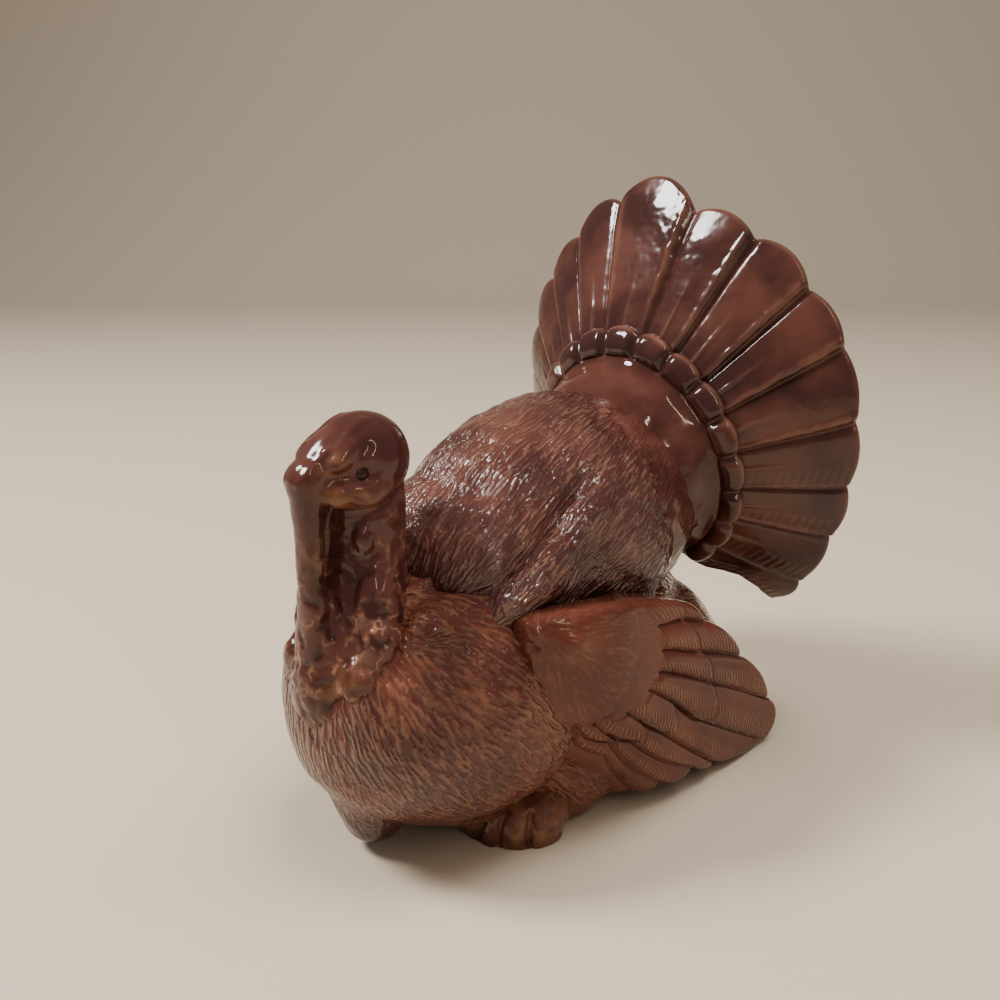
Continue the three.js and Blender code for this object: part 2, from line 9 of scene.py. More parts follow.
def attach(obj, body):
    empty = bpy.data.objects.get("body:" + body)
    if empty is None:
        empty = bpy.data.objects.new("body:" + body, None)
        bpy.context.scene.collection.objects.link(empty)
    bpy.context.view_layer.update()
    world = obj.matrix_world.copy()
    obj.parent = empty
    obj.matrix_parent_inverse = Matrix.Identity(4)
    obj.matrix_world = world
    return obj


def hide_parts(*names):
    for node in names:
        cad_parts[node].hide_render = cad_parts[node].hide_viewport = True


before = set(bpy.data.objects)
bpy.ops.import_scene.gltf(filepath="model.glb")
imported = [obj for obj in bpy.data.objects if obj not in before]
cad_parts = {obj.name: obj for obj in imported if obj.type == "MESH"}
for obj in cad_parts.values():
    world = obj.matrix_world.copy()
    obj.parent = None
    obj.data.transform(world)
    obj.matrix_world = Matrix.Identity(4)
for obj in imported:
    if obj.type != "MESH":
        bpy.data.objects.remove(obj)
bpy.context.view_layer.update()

mm = 0.001
scene = bpy.context.scene

# the tail's centre, that the part's own sizes are measured from
tail = {
    "back": 23.75, "lift": 102.0, "sweep": 36.0, "pitch": 13.0,
    "feathers": 17, "featherTurn": 17.9, "taperTurn": 110.0, "innerRadius": 24.0, "thickness": 4.6,
    "groove": 1.5, "dome": 0.35, "shingle": 1.3, "bow": 3.0, "curl": 0.9, "lip": 0.9, "midrib": 0.8, "barb": 0.2,
}


def at(side, forward, lift):
    # millimetres forward of the tail's centre and above the table
    return Vector((side, tail["back"] - forward, lift)) * mm


def turn(degrees, axis):
    return Matrix.Rotation(math.radians(degrees), 3, axis)


def onSide(side, path):
    return [(side * x, forward, lift) for x, forward, lift in path]


def smoothstep(low, high, value):
    share = np.clip((value - low) / (high - low), 0, 1)
    return share * share * (3 - 2 * share)


# ---- camera, light and floor

cameraData = bpy.data.cameras.new("photoCamera")
cameraData.lens = 37.8
cameraData.sensor_width = 36
cameraData.shift_x = -0.0819
cameraData.shift_y = -0.0107
cameraData.clip_start = 0.01
camera = bpy.data.objects.new("photoCamera", cameraData)
scene.collection.objects.link(camera)
camera.location = (0.2497, -0.2536, 0.2090)
camera.rotation_mode = "QUATERNION"
camera.rotation_quaternion = Vector((-0.6432, 0.7144, -0.2756)).to_track_quat("-Z", "Y")
scene.camera = camera


def softLight(name, place, target, size, power, colour=(1, 1, 1), sizeY=None):
    data = bpy.data.lights.new(name, "AREA")
    data.energy = power
    data.color = colour
    data.size = size
    if sizeY:
        data.shape = "RECTANGLE"
        data.size_y = sizeY
    lamp = bpy.data.objects.new(name, data)
    scene.collection.objects.link(lamp)
    lamp.location = place
    lamp.rotation_mode = "QUATERNION"
    lamp.rotation_quaternion = (Vector(target) - Vector(place)).to_track_quat("-Z", "Y")
    return lamp


softLight("windowLeft", (-0.77, -0.74, 1.29), (0, 0, 0.09), 0.42, 35, (1.0, 0.98, 0.96))
fill = softLight("overhead", (0.35, 0.15, 1.5), (0, 0, 0.1), 0.8, 20, (1.0, 0.98, 0.96))
# fill only, so that the glaze shows the window and not this
fill.visible_glossy = False
softLight("stripRight", (0.95, -0.25, 0.95), (0, 0.03, 0.14), 0.03, 2.6, (1.0, 0.86, 0.62), 0.8)

world = bpy.data.worlds.new("paleRoom")
world.use_nodes = True
world.node_tree.nodes["Background"].inputs["Color"].default_value = (0.80, 0.79, 0.80, 1)
world.node_tree.nodes["Background"].inputs["Strength"].default_value = 0.28
scene.world = world


# metres; the turn lets the wall stand square to the camera
backdrop = {"halfWidth": 3.0, "front": -2.0, "bend": 1.6, "radius": 0.8, "top": 3.0, "turn": 42}


def makeStage():
    bm = bmesh.new()
    bend, radius = backdrop["bend"], backdrop["radius"]
    edge = bm.edges.new([bm.verts.new((x, backdrop["front"], 0)) for x in (-backdrop["halfWidth"], backdrop["halfWidth"])])
    path = [(bend, 0.0)]
    path += [(bend + radius * math.sin(a), radius - radius * math.cos(a)) for a in np.linspace(0.1, math.pi / 2, 14)]
    path.append((bend + radius, backdrop["top"]))
    for y, z in path:
        grown = bmesh.ops.extrude_edge_only(bm, edges=[edge])["geom"]
        verts = [v for v in grown if isinstance(v, bmesh.types.BMVert)]
        for v in verts:
            v.co.y, v.co.z = y, z
        edge = next(e for e in grown if isinstance(e, bmesh.types.BMEdge) and all(v in e.verts for v in verts))
    bmesh.ops.rotate(bm, verts=bm.verts, cent=(0, 0, 0), matrix=turn(backdrop["turn"], "Z"))
    floor = newPiece("paleFloor", bm)
    material = bpy.data.materials.new("paleTable")
    material.use_nodes = True
    shader = material.node_tree.nodes["Principled BSDF"]
    shader.inputs["Base Color"].default_value = (0.64, 0.53, 0.40, 1)
    shader.inputs["Roughness"].default_value = 0.6
    floor.data.materials.append(material)


# ---- modelling helpers

def newPiece(name, bm):
    mesh = bpy.data.meshes.new(name)
    bm.to_mesh(mesh)
    bm.free()
    mesh.polygons.foreach_set("use_smooth", [True] * len(mesh.polygons))
    piece = bpy.data.objects.new(name, mesh)
    scene.collection.objects.link(piece)
    return piece


def addBlob(bm, half, place, pitch=0, roll=0, yaw=0, square=2.0, level=4):
    # a rounded form with half sizes in millimetres, boxier where square is over 2
    made = bmesh.ops.create_icosphere(bm, subdivisions=level, radius=1.0)["verts"]
    power = 2 / square
    for v in made:
        around = math.hypot(v.co.x, v.co.y)
        widened = around ** power / around if around > 1e-9 else 0
        v.co.x *= widened
        v.co.y *= widened
        v.co.z = math.copysign(abs(v.co.z) ** power, v.co.z)
    bmesh.ops.scale(bm, verts=made, vec=Vector(half) * mm)
    bmesh.ops.rotate(bm, verts=made, cent=(0, 0, 0), matrix=turn(yaw, "Z") @ turn(roll, "Y") @ turn(pitch, "X"))
    bmesh.ops.translate(bm, verts=made, vec=at(*place))


def addLoft(bm, stations, sides=28):
    # closed rings through stations: side, forward, lift, half side, half deep
    rings = []
    for side, forward, lift, halfSide, halfDeep in stations:
        ring = bmesh.ops.create_circle(bm, cap_ends=False, segments=sides, radius=1.0)["verts"]
        bmesh.ops.scale(bm, verts=ring, vec=(halfSide * mm, halfDeep * mm, 1))
        bmesh.ops.translate(bm, verts=ring, vec=at(side, forward, lift))
        rings.append(sorted({e for v in ring for e in v.link_edges}, key=lambda e: e.index))
    for lower, upper in zip(rings, rings[1:]):
        bmesh.ops.bridge_loops(bm, edges=lower + upper)
    bmesh.ops.holes_fill(bm, edges=rings[0] + rings[-1], sides=sides)
    bmesh.ops.recalc_face_normals(bm, faces=bm.faces)


def applyModifiers(piece):
    held = bpy.context.evaluated_depsgraph_get()
    made = bpy.data.meshes.new_from_object(piece.evaluated_get(held))
    old = piece.data
    piece.modifiers.clear()
    piece.data = made
    made.name = old.name
    bpy.data.meshes.remove(old)
    made.polygons.foreach_set("use_smooth", [True] * len(made.polygons))


def fuse(piece, voxel, smoothing):
    # luted forms become one skin, with soft joins
    melt = piece.modifiers.new("melt", "REMESH")
    melt.mode = "VOXEL"
    melt.voxel_size = voxel * mm
    melt.use_smooth_shade = True
    applyModifiers(piece)
    bm = bmesh.new()
    bm.from_mesh(piece.data)
    for _ in range(smoothing):
        bmesh.ops.smooth_vert(bm, verts=bm.verts, factor=0.5, use_axis_x=True, use_axis_y=True, use_axis_z=True)
    bm.to_mesh(piece.data)
    bm.free()


def readSkin(piece):
    count = len(piece.data.vertices)
    places = np.empty(count * 3)
    piece.data.vertices.foreach_get("co", places)
    normals = np.empty(count * 3, np.float32)
    piece.data.vertex_normals.foreach_get("vector", normals)
    return places.reshape(-1, 3), normals.reshape(-1, 3).astype(float)


def writeSkin(piece, places):
    piece.data.vertices.foreach_set("co", places.astype(np.float32).ravel())
    piece.data.update()


def swell(piece, spots):
    # raises (+) or presses in (-) soft round spots: place, radius, height in millimetres
    places, normals = readSkin(piece)
    for place, radius, height in spots:
        away = np.linalg.norm(places - np.array(at(*place)), axis=1) / (radius * mm)
        places += normals * (height * mm * np.exp(-away ** 2 * 1.6))[:, None]
    writeSkin(piece, places)


def furrow(piece, path, width, height, onSkin=False):
    # a rounded ridge (+) or groove (-) along a line of places, which onSkin moves to the nearest skin
    places, normals = readSkin(piece)
    line = [np.array(at(*p)) for p in path]
    if onSkin:
        line = [places[np.argmin(np.linalg.norm(places - p, axis=1))] for p in line]
    best = np.full(len(places), 1e9)
    for a, b in zip(line, line[1:]):
        span = b - a
        share = np.clip(((places - a) @ span) / (span @ span), 0, 1)
        best = np.minimum(best, np.linalg.norm(places - a - share[:, None] * span, axis=1))
    places += normals * (height * mm * np.exp(-(best / (width * mm)) ** 2))[:, None]
    writeSkin(piece, places)


def roughen(piece, size, depth, seed=0.0):
    # hand-modelled unevenness
    places, normals = readSkin(piece)
    lump = np.array([noise.noise(Vector(p) / (size * mm) + Vector((seed, seed, seed))) for p in places])
    writeSkin(piece, places + normals * (lump * depth * mm)[:, None])


def nearness(places, place, radius):
    # 1 at the place, falling off over a radius in millimetres
    return np.exp(-(np.linalg.norm(places - np.array(at(*place)), axis=1) / (radius * mm)) ** 2)


def layFlow(piece, direction):
    # the way that the feather strokes run, laid on the skin as an attribute
    places, normals = readSkin(piece)
    run = direction(places)
    run -= normals * (run * normals).sum(axis=1)[:, None]
    run /= np.maximum(np.linalg.norm(run, axis=1), 1e-6)[:, None]
    attribute = piece.data.attributes.new("flow", "FLOAT_VECTOR", "POINT")
    attribute.data.foreach_set("vector", run.astype(np.float32).ravel())


def layMask(piece, name, values):
    attribute = piece.data.attributes.new(name, "FLOAT", "POINT")
    attribute.data.foreach_set("value", np.asarray(values, np.float32))


def finishPiece(piece, material, slot, *nodes):
    piece.data.materials.clear()
    piece.data.materials.append(material)
    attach(piece, "root")
    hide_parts(*nodes)
    print("made", piece.name, len(piece.data.polygons))


# ---- glaze materials

def newGroup(name, ins, outs):
    group = bpy.data.node_groups.new(name, "ShaderNodeTree")
    for socketName, kind, value in ins:
        socket = group.interface.new_socket(name=socketName, in_out="INPUT", socket_type=kind)
        if value is not None:
            socket.default_value = value
    for socketName, kind in outs:
        group.interface.new_socket(name=socketName, in_out="OUTPUT", socket_type=kind)
    return group, group.nodes.new("NodeGroupInput"), group.nodes.new("NodeGroupOutput")


def feed(tree, socket, value):
    # an output is linked; a number or a colour goes on the socket itself
    if isinstance(value, bpy.types.NodeSocket):
        tree.links.new(value, socket)
    else:
        socket.default_value = (*value, 1) if isinstance(value, tuple) else value


def mathNode(tree, operation, *values, clamp=False):
    node = tree.nodes.new("ShaderNodeMath")
    node.operation = operation
    node.use_clamp = clamp
    for socket, value in zip(node.inputs, values):
        feed(tree, socket, value)
    return node.outputs[0]


def rangeNode(tree, value, low, high, toLow=0.0, toHigh=1.0):
    node = tree.nodes.new("ShaderNodeMapRange")
    node.interpolation_type = "SMOOTHSTEP"
    for name, given in (("Value", value), ("From Min", low), ("From Max", high), ("To Min", toLow), ("To Max", toHigh)):
        feed(tree, node.inputs[name], given)
    return node.outputs["Result"]


def mixColour(tree, share, first, second):
    node = tree.nodes.new("ShaderNodeMix")
    node.data_type = "RGBA"
    for number, value in ((0, share), (6, first), (7, second)):
        feed(tree, node.inputs[number], value)
    return node.outputs[2]


def noiseNode(tree, place, scale, detail=2.0):
    node = tree.nodes.new("ShaderNodeTexNoise")
    for name, value in (("Vector", place), ("Scale", scale), ("Detail", detail)):
        feed(tree, node.inputs[name], value)
    return node.outputs["Fac"]


def attributeNode(tree, name):
    node = tree.nodes.new("ShaderNodeAttribute")
    node.attribute_name = name
    return node.outputs


def placeGroup(tree, group, values):
    node = tree.nodes.new("ShaderNodeGroup")
    node.node_tree = group
    for name, value in values.items():
        feed(tree, node.inputs[name], value)
    return node.outputs


def buildStrokeGroup():
    # noise smeared along the flow, so it breaks into short strokes that follow the feathers
    group, source, sink = newGroup(
        "featherStrokes",
        [("Place", "NodeSocketVector", None), ("Flow", "NodeSocketVector", None),
         ("Reach", "NodeSocketFloat", 0.002), ("Scale", "NodeSocketFloat", 600.0),
         ("Low", "NodeSocketFloat", 0.44), ("High", "NodeSocketFloat", 0.6)],
        [("Stroke", "NodeSocketFloat"), ("Relief", "NodeSocketFloat")],
    )
    total = None
    steps = (-1.0, -0.66, -0.33, 0.0, 0.33, 0.66, 1.0)
    for step in steps:
        reach = mathNode(group, "MULTIPLY", source.outputs["Reach"], step)
        along = group.nodes.new("ShaderNodeVectorMath")
        along.operation = "SCALE"
        group.links.new(source.outputs["Flow"], along.inputs[0])
        group.links.new(reach, along.inputs["Scale"])
        moved = group.nodes.new("ShaderNodeVectorMath")
        moved.operation = "ADD"
        group.links.new(source.outputs["Place"], moved.inputs[0])
        group.links.new(along.outputs[0], moved.inputs[1])
        grain = noiseNode(group, moved.outputs[0], source.outputs["Scale"], 0.6)
        total = grain if total is None else mathNode(group, "ADD", total, grain)
    mean = mathNode(group, "DIVIDE", total, float(len(steps)))
    stroke = rangeNode(group, mean, source.outputs["Low"], source.outputs["High"])
    group.links.new(stroke, sink.inputs["Stroke"])
    # the relief is rounder than the colour
    low = mathNode(group, "SUBTRACT", source.outputs["Low"], 0.06)
    high = mathNode(group, "ADD", source.outputs["High"], 0.05)
    group.links.new(rangeNode(group, mean, low, high), sink.inputs["Relief"])
    return group


def buildPoolGroup():
    # thick and thin places of the glaze, and the lighter breaks on its high places
    group, source, sink = newGroup(
        "glazePools",
        [("Place", "NodeSocketVector", None), ("Height", "NodeSocketFloat", 0.5),
         ("Deep", "NodeSocketColor", (0.03, 0.009, 0.006, 1)), ("Body", "NodeSocketColor", (0.09, 0.028, 0.015, 1)),
         ("Break", "NodeSocketColor", (0.3, 0.13, 0.06, 1)), ("Breaking", "NodeSocketFloat", 0.6)],
        [("Colour", "NodeSocketColor"), ("Pool", "NodeSocketFloat")],
    )
    pool = rangeNode(group, noiseNode(group, source.outputs["Place"], 38.0, 4.0), 0.36, 0.66)
    shade = mixColour(group, pool, source.outputs["Deep"], source.outputs["Body"])
    thin = rangeNode(group, noiseNode(group, source.outputs["Place"], 75.0), 0.3, 0.65, 0.35, 1.0)
    lit = mathNode(group, "MULTIPLY", source.outputs["Height"], source.outputs["Breaking"])
    lit = mathNode(group, "MULTIPLY", lit, thin, clamp=True)
    colour = mixColour(group, lit, shade, source.outputs["Break"])
    group.links.new(colour, sink.inputs["Colour"])
    group.links.new(pool, sink.inputs["Pool"])
    return group


strokeGroup = buildStrokeGroup()
poolGroup = buildPoolGroup()


def glazeBase(name, values):
    material = bpy.data.materials.new(name)
    material.use_nodes = True
    tree = material.node_tree
    shader = tree.nodes["Principled BSDF"]
    shader.inputs["IOR"].default_value = 1.5
    shader.inputs["Specular IOR Level"].default_value = values["specular"]
    return material, tree, shader, tree.nodes.new("ShaderNodeTexCoord").outputs["Object"]


def glazeFinish(tree, shader, place, height, values, relief=None):
    # height says where the glaze runs thin over the relief; returns the colour
    pools = placeGroup(tree, poolGroup, {
        "Place": place, "Height": height, "Deep": values["deep"], "Body": values["body"], "Break": values["breaks"],
        "Breaking": values["breaking"],
    })
    feed(tree, shader.inputs["Base Color"], pools["Colour"])
    feed(tree, shader.inputs["Roughness"], rangeNode(tree, pools["Pool"], 0.0, 1.0, values["gloss"], values["satin"]))
    ripple = noiseNode(tree, place, values.get("rippleScale", 140.0), 1.0)
    bumps = [(ripple, values.get("ripple", 0.25))]
    if relief is not None:
        bumps.append((relief, values["depth"]))
    normal = None
    for source, depth in bumps:
        bump = tree.nodes.new("ShaderNodeBump")
        bump.inputs["Strength"].default_value = 1.0
        bump.inputs["Distance"].default_value = depth * mm
        feed(tree, bump.inputs["Height"], source)
        if normal is not None:
            feed(tree, bump.inputs["Normal"], normal)
        normal = bump.outputs["Normal"]
    feed(tree, shader.inputs["Normal"], normal)
    return pools["Colour"]


def layStrokes(tree, place, values):
    return placeGroup(tree, strokeGroup, {
        "Place": place, "Flow": attributeNode(tree, "flow")["Vector"], "Reach": values["reach"], "Scale": values["scale"],
        "Low": values["low"], "High": values["high"],
    })


# colours and roughness of the glaze, and the strokes: half their length in metres, scale, threshold and depth
plumage = {
    "deep": (0.066, 0.0165, 0.0120), "body": (0.132, 0.037, 0.0225), "breaks": (0.25, 0.104, 0.056),
    # the first colour on the next line is painted shade, laid on the low front of the breast
    "paintedShadeColour": (0.030, 0.0085, 0.006), "breaking": 0.56, "gloss": 0.07, "satin": 0.14, "specular": 0.42,
    "reach": 0.0016, "scale": 720.0, "low": 0.46, "high": 0.585, "depth": 0.72,
}


def plumageMaterial(name, values):
    # short strokes where the down attribute says, and a dark colour painted as shade where the low-front shade mask
    # says
    material, tree, shader, place = glazeBase(name, values)
    strokes = layStrokes(tree, place, values)
    down = attributeNode(tree, "down")["Fac"]
    height = mathNode(tree, "MULTIPLY", strokes["Stroke"], down)
    relief = mathNode(tree, "MULTIPLY", strokes["Relief"], down)
    colour = glazeFinish(tree, shader, place, height, values, relief)
    # painted shade: the dark colour mixed in by the low-front mask
    paintedShadeLow = attributeNode(tree, "paintedShadeLow")["Fac"]
    feed(tree, shader.inputs["Base Color"], mixColour(tree, paintedShadeLow, colour, values["paintedShadeColour"]))
    return material


skin = {
    "deep": (0.058, 0.0175, 0.0145), "body": (0.112, 0.037, 0.028), "breaks": (0.36, 0.175, 0.095),
    "pale": (0.235, 0.095, 0.037), "shade": (0.030, 0.0085, 0.0065), "breaking": 0.8,
    "gloss": 0.09, "satin": 0.19, "specular": 0.37, "depth": 0.2, "marble": 190.0, "marbleWidth": 0.075,
}


def skinMaterial(name, values):
    # pebbled skin, dark in its pits, with thin light lines on its lumps and lighter spots
    material, tree, shader, place = glazeBase(name, values)
    lumps, pits, pale = (attributeNode(tree, mask)["Fac"] for mask in ("lumps", "pits", "pale"))
    marble = noiseNode(tree, place, values["marble"], 1.5)
    apart = mathNode(tree, "ABSOLUTE", mathNode(tree, "SUBTRACT", marble, 0.5))
    lines = rangeNode(tree, apart, values["marbleWidth"], 0.0)
    lines = mathNode(tree, "MULTIPLY", lines, rangeNode(tree, noiseNode(tree, place, 150.0), 0.38, 0.56))
    height = mathNode(tree, "MULTIPLY", lines, mathNode(tree, "MULTIPLY", pits, lumps))
    colour = glazeFinish(tree, shader, place, height, values, height)
    low = mathNode(tree, "MULTIPLY", mathNode(tree, "SUBTRACT", 1.0, pits), lumps)
    colour = mixColour(tree, mathNode(tree, "MULTIPLY", low, 0.8), colour, values["shade"])
    share = mathNode(tree, "MULTIPLY", pale, rangeNode(tree, marble, 0.3, 0.62))
    feed(tree, shader.inputs["Base Color"], mixColour(tree, share, colour, values["pale"]))
    return material


fanGlaze = {
    "deep": (0.042, 0.0140, 0.0115), "body": (0.102, 0.034, 0.0235), "breaks": (0.34, 0.155, 0.095), "breaking": 0.8,
    "gloss": 0.10, "satin": 0.2, "specular": 0.42, "ripple": 0.3, "rippleScale": 190.0,
}


def ridgeMaterial(name, values):
    # smooth feathers, lighter where the ridges attribute says that the glaze runs thin
    material, tree, shader, place = glazeBase(name, values)
    glazeFinish(tree, shader, place, attributeNode(tree, "ridges")["Fac"], values)
    return material


wingGlaze = {
    "deep": (0.084, 0.0215, 0.0135), "body": (0.130, 0.034, 0.0205), "breaks": (0.33, 0.145, 0.072), "breaking": 0.75,
    "gloss": 0.07, "satin": 0.2, "specular": 0.33, "ripple": 0.14, "depth": 0.32,
    "barbPitch": 1.9, "barbSlant": 7.0, "barbWobble": 2.2,
    "reach": 0.0014, "scale": 900.0, "low": 0.47, "high": 0.63, "strokes": 0.3,
}


def bladeMaterial(name, values):
    # feathers with slanted barbs along their lower half
    # the blade attribute holds millimetres along, the share across and how strong the barbs are
    material, tree, shader, place = glazeBase(name, values)
    parts = tree.nodes.new("ShaderNodeSeparateXYZ")
    feed(tree, parts.inputs[0], attributeNode(tree, "blade")["Vector"])
    along, across, strength = parts.outputs
    slant = mathNode(tree, "MULTIPLY_ADD", across, values["barbSlant"], along)
    slant = mathNode(tree, "MULTIPLY_ADD", noiseNode(tree, place, 220.0), values["barbWobble"], slant)
    wave = mathNode(tree, "SINE", mathNode(tree, "MULTIPLY", slant, 2 * math.pi / values["barbPitch"]))
    lowerHalf = rangeNode(tree, across, 0.62, 0.30)
    inside = rangeNode(tree, across, 0.02, 0.12)
    barbs = mathNode(tree, "MULTIPLY", rangeNode(tree, wave, -0.2, 0.9), mathNode(tree, "MULTIPLY", lowerHalf, inside))
    barbs = mathNode(tree, "MULTIPLY", barbs, strength)
    down = attributeNode(tree, "down")["Fac"]
    soft = mathNode(tree, "MULTIPLY", layStrokes(tree, place, values)["Stroke"], down)
    height = mathNode(tree, "MAXIMUM", barbs, mathNode(tree, "MULTIPLY", soft, values["strokes"]))
    glazeFinish(tree, shader, place, height, values, height)
    return material


# ---- lower body: breast, belly, rump, keel ridge and nub

# the paths run down the left side: the rolled lip in front, the fold outside it and the crease over the feet
breast = {
    "keel": [
        (0, 111, 50, 15, 9), (-1, 109, 42, 17, 11), (-2.5, 102, 24, 16, 11), (-4, 99, 12, 12.5, 10),
        (-5, 98, 5.5, 9.5, 8.5), (-5, 97, 2.4, 5.5, 5),
    ],
    "lip": [(15, 84, 95), (13.5, 94, 95), (14, 101, 92), (16, 105, 86), (19, 107, 78)],
    "fold": [(19, 86, 95), (18, 95, 94), (19, 101, 89), (22, 104, 82)],
    "crease": [(12, 92, 18), (24, 86, 18), (34, 74, 17), (42, 60, 15)],
    "lobe": (30, 95, 86.5),
}


def makeLowerBody():
    bm = bmesh.new()
    addBlob(bm, (50, 53, 45), (0, 70, 52), square=2.1, level=5)
    addBlob(bm, (46, 62, 47), (0, 22, 42), square=2.5, level=5)
    addBlob(bm, (48, 40, 36), (0, -16, 33), level=5)
    # keel ridge and nub, a little to one side as in the cast
    addLoft(bm, breast["keel"], 20)
    # belly down to the table behind the nub and round the feet
    addBlob(bm, (33, 24, 24), (0, 69, 27.5), square=2.8)
    addBlob(bm, (45, 32, 30), (0, 38, 22), square=2.8)
    for side in (-1, 1):
        addBlob(bm, (11.5, 25, 15.5), (side * 25.5, 81, 77), yaw=side * -10, square=2.2)
    piece = newPiece("lowerBody", bm)
    fuse(piece, 1.1, 10)
    roughen(piece, 22, 1.6)
    roughen(piece, 7, 0.5, 3.0)
    for side in (-1, 1):
        furrow(piece, onSide(side, breast["lip"]), 1.5, 1.6, True)
        furrow(piece, onSide(side, breast["fold"]), 2.2, -0.8, True)
        furrow(piece, onSide(side, breast["crease"]), 4.0, -0.8)
        swell(piece, [(onSide(side, [breast["lobe"]])[0], 7, 2.6)])
    places, _ = readSkin(piece)
    places[:, 2] = np.maximum(places[:, 2], 0.0)
    writeSkin(piece, places)
    neckBase = np.array(at(0, 100, 84))

    def run(places):
        away = places - neckBase
        rear = np.zeros_like(away)
        rear[:, 1] = 1.0
        rear[:, 2] = -0.35
        share = smoothstep(-0.02, 0.05, places[:, 1])[:, None]
        away /= np.maximum(np.linalg.norm(away, axis=1), 1e-6)[:, None]
        return away * (1 - share) + rear * share

    layFlow(piece, run)
    places, _ = readSkin(piece)
    lift, forward = places[:, 2] / mm, tail["back"] - places[:, 1] / mm
    plain = 1 - 0.75 * (1 - smoothstep(10, 34, lift)) * smoothstep(70, 95, forward)
    layMask(piece, "down", plain * smoothstep(1.0, 14, lift))
    # painted shade: darker towards the table at the low front of the breast, round the keel nub
    layMask(piece, "paintedShadeLow", 0.85 * (1 - smoothstep(8, 30, lift)) * smoothstep(84, 98, forward))
    finishPiece(piece, plumageMaterial("breastGlaze", plumage), "plumage_glaze", "lower_body_shell", "keel_nub")


# ---- back: mantle, hackle and saddle

mantleGlaze = {
    "deep": (0.058, 0.0165, 0.0135), "body": (0.116, 0.037, 0.0275), "breaks": (0.255, 0.122, 0.074), "reach": 0.0018,
    "scale": 900.0, "low": 0.488, "high": 0.585, "depth": 0.6, "gloss": 0.05, "satin": 0.1, "specular": 0.75,
    "ripple": 0.5, "rippleScale": 170.0,
}

back = {
    "ridge": [(41, 37.5, 112), (41.5, 48, 105), (43, 58.5, 100), (42.5, 66.5, 95.5), (42, 73.5, 89.5), (38, 80, 85)],
    "valley": [(33, 36, 120), (34.5, 45, 112.5), (35.5, 51, 107), (37, 61, 101.5), (35.5, 70, 96.5), (31.5, 77, 91)],
    "downEnd": 7.0, "raggedness": 9.0, "step": 1.1,
}


def makeBack():
    bm = bmesh.new()
    addBlob(bm, (46, 55, 44), (0, 20, 93), pitch=18, level=5)
    addBlob(bm, (42, 32, 32), (0, 56, 88), pitch=18, level=5)
    addBlob(bm, (43, 40, 42), (0, 2, 97), pitch=13, level=5)
    addBlob(bm, (33, 40, 30), (0, 42, 101), pitch=34, level=5)
    addBlob(bm, (30, 40, 30), (0, 10, 107.5), pitch=4, level=5)
    piece = newPiece("backPlumage", bm)
    fuse(piece, 1.0, 16)
    for side in (-1, 1):
        furrow(piece, onSide(side, back["valley"]), 4.2, -3.0, True)
        furrow(piece, onSide(side, back["ridge"]), 4.8, 3.6, True)
    roughen(piece, 20, 1.4, 5.0)
    roughen(piece, 5.5, 0.8, 8.0)
    places, normals = readSkin(piece)
    forward = (tail["back"] * mm - places[:, 1]) / mm
    ragged = np.array([noise.noise(Vector(p) / (5 * mm)) + 0.6 * noise.noise(Vector(p) / (2 * mm)) for p in places])
    down = smoothstep(-1.5, 1.5, forward - back["downEnd"] + back["raggedness"] * ragged)
    writeSkin(piece, places + normals * (down * back["step"] * mm)[:, None])
    layMask(piece, "down", 0.22 + 0.78 * down)

    def run(places):
        away = np.zeros_like(places)
        away[:, 1] = 0.8
        away[:, 2] = 0.5
        return away

    layFlow(piece, run)
    finishPiece(piece, plumageMaterial("mantleGlaze", {**plumage, **mantleGlaze}), "plumage_glaze", "back_shell")


# ---- tail

tailTip = at(0, 0, tail["lift"])


def tailSpot(around, distance, lift):
    turned, sweep = math.radians(around), math.radians(tail["sweep"])
    out = Vector((math.sin(turned), 0, math.cos(turned)))
    along = Vector((out.x * math.cos(sweep), math.sin(sweep), out.z * math.cos(sweep)))
    face = Vector((out.x * math.sin(sweep), -math.cos(sweep), out.z * math.sin(sweep)))
    spot = along * distance + face * lift
    spot.rotate(turn(tail["pitch"], "X"))
    return tailTip + spot * mm


# edges between the fan's feathers: degrees round from the top, and how far out each notch lies
featherEdges = np.array([
    (-152, 97), (-132, 95.5), (-112, 96), (-94, 97.5), (-76.2, 100), (-60.2, 99), (-44.8, 103), (-29.8, 108.5),
    (-14.4, 114.5), (9.5, 109.5), (27.3, 108.8), (45.3, 107.5), (61.5, 106), (80, 101), (98, 96.5), (115.5, 95),
    (137.5, 97), (152, 98),
])
featherTips = [4, 4, 4, 4, 4, 6.5, 5.5, 6.5, 10.2, 4.2, 4.6, 3, 2, 2, 2.2, 2, 4.5]
# the fan's hollow lower edge: millimetres out and degrees round
lowerEdge = np.array([(24, 158), (60, 158), (65, 156), (70, 150.5), (76, 147.2), (86, 148), (96, 151), (110, 152)])


def gauss(value, width):
    return math.exp(-(value / width) ** 2)


def featherAt(around):
    # the feather's number, the share across it and how far out its rim lies
    number = int(np.clip(np.searchsorted(featherEdges[:, 0], around, side="right") - 1, 0, len(featherTips) - 1))
    (low, lowReach), (high, highReach) = featherEdges[number], featherEdges[number + 1]
    share = min(1.0, max(0.0, (around - low) / (high - low)))
    tip = featherTips[number] * math.sin(math.pi * share) ** 0.75 if 0 < share < 1 else 0
    return number, share - 0.5, lowReach + (highReach - lowReach) * share + tip


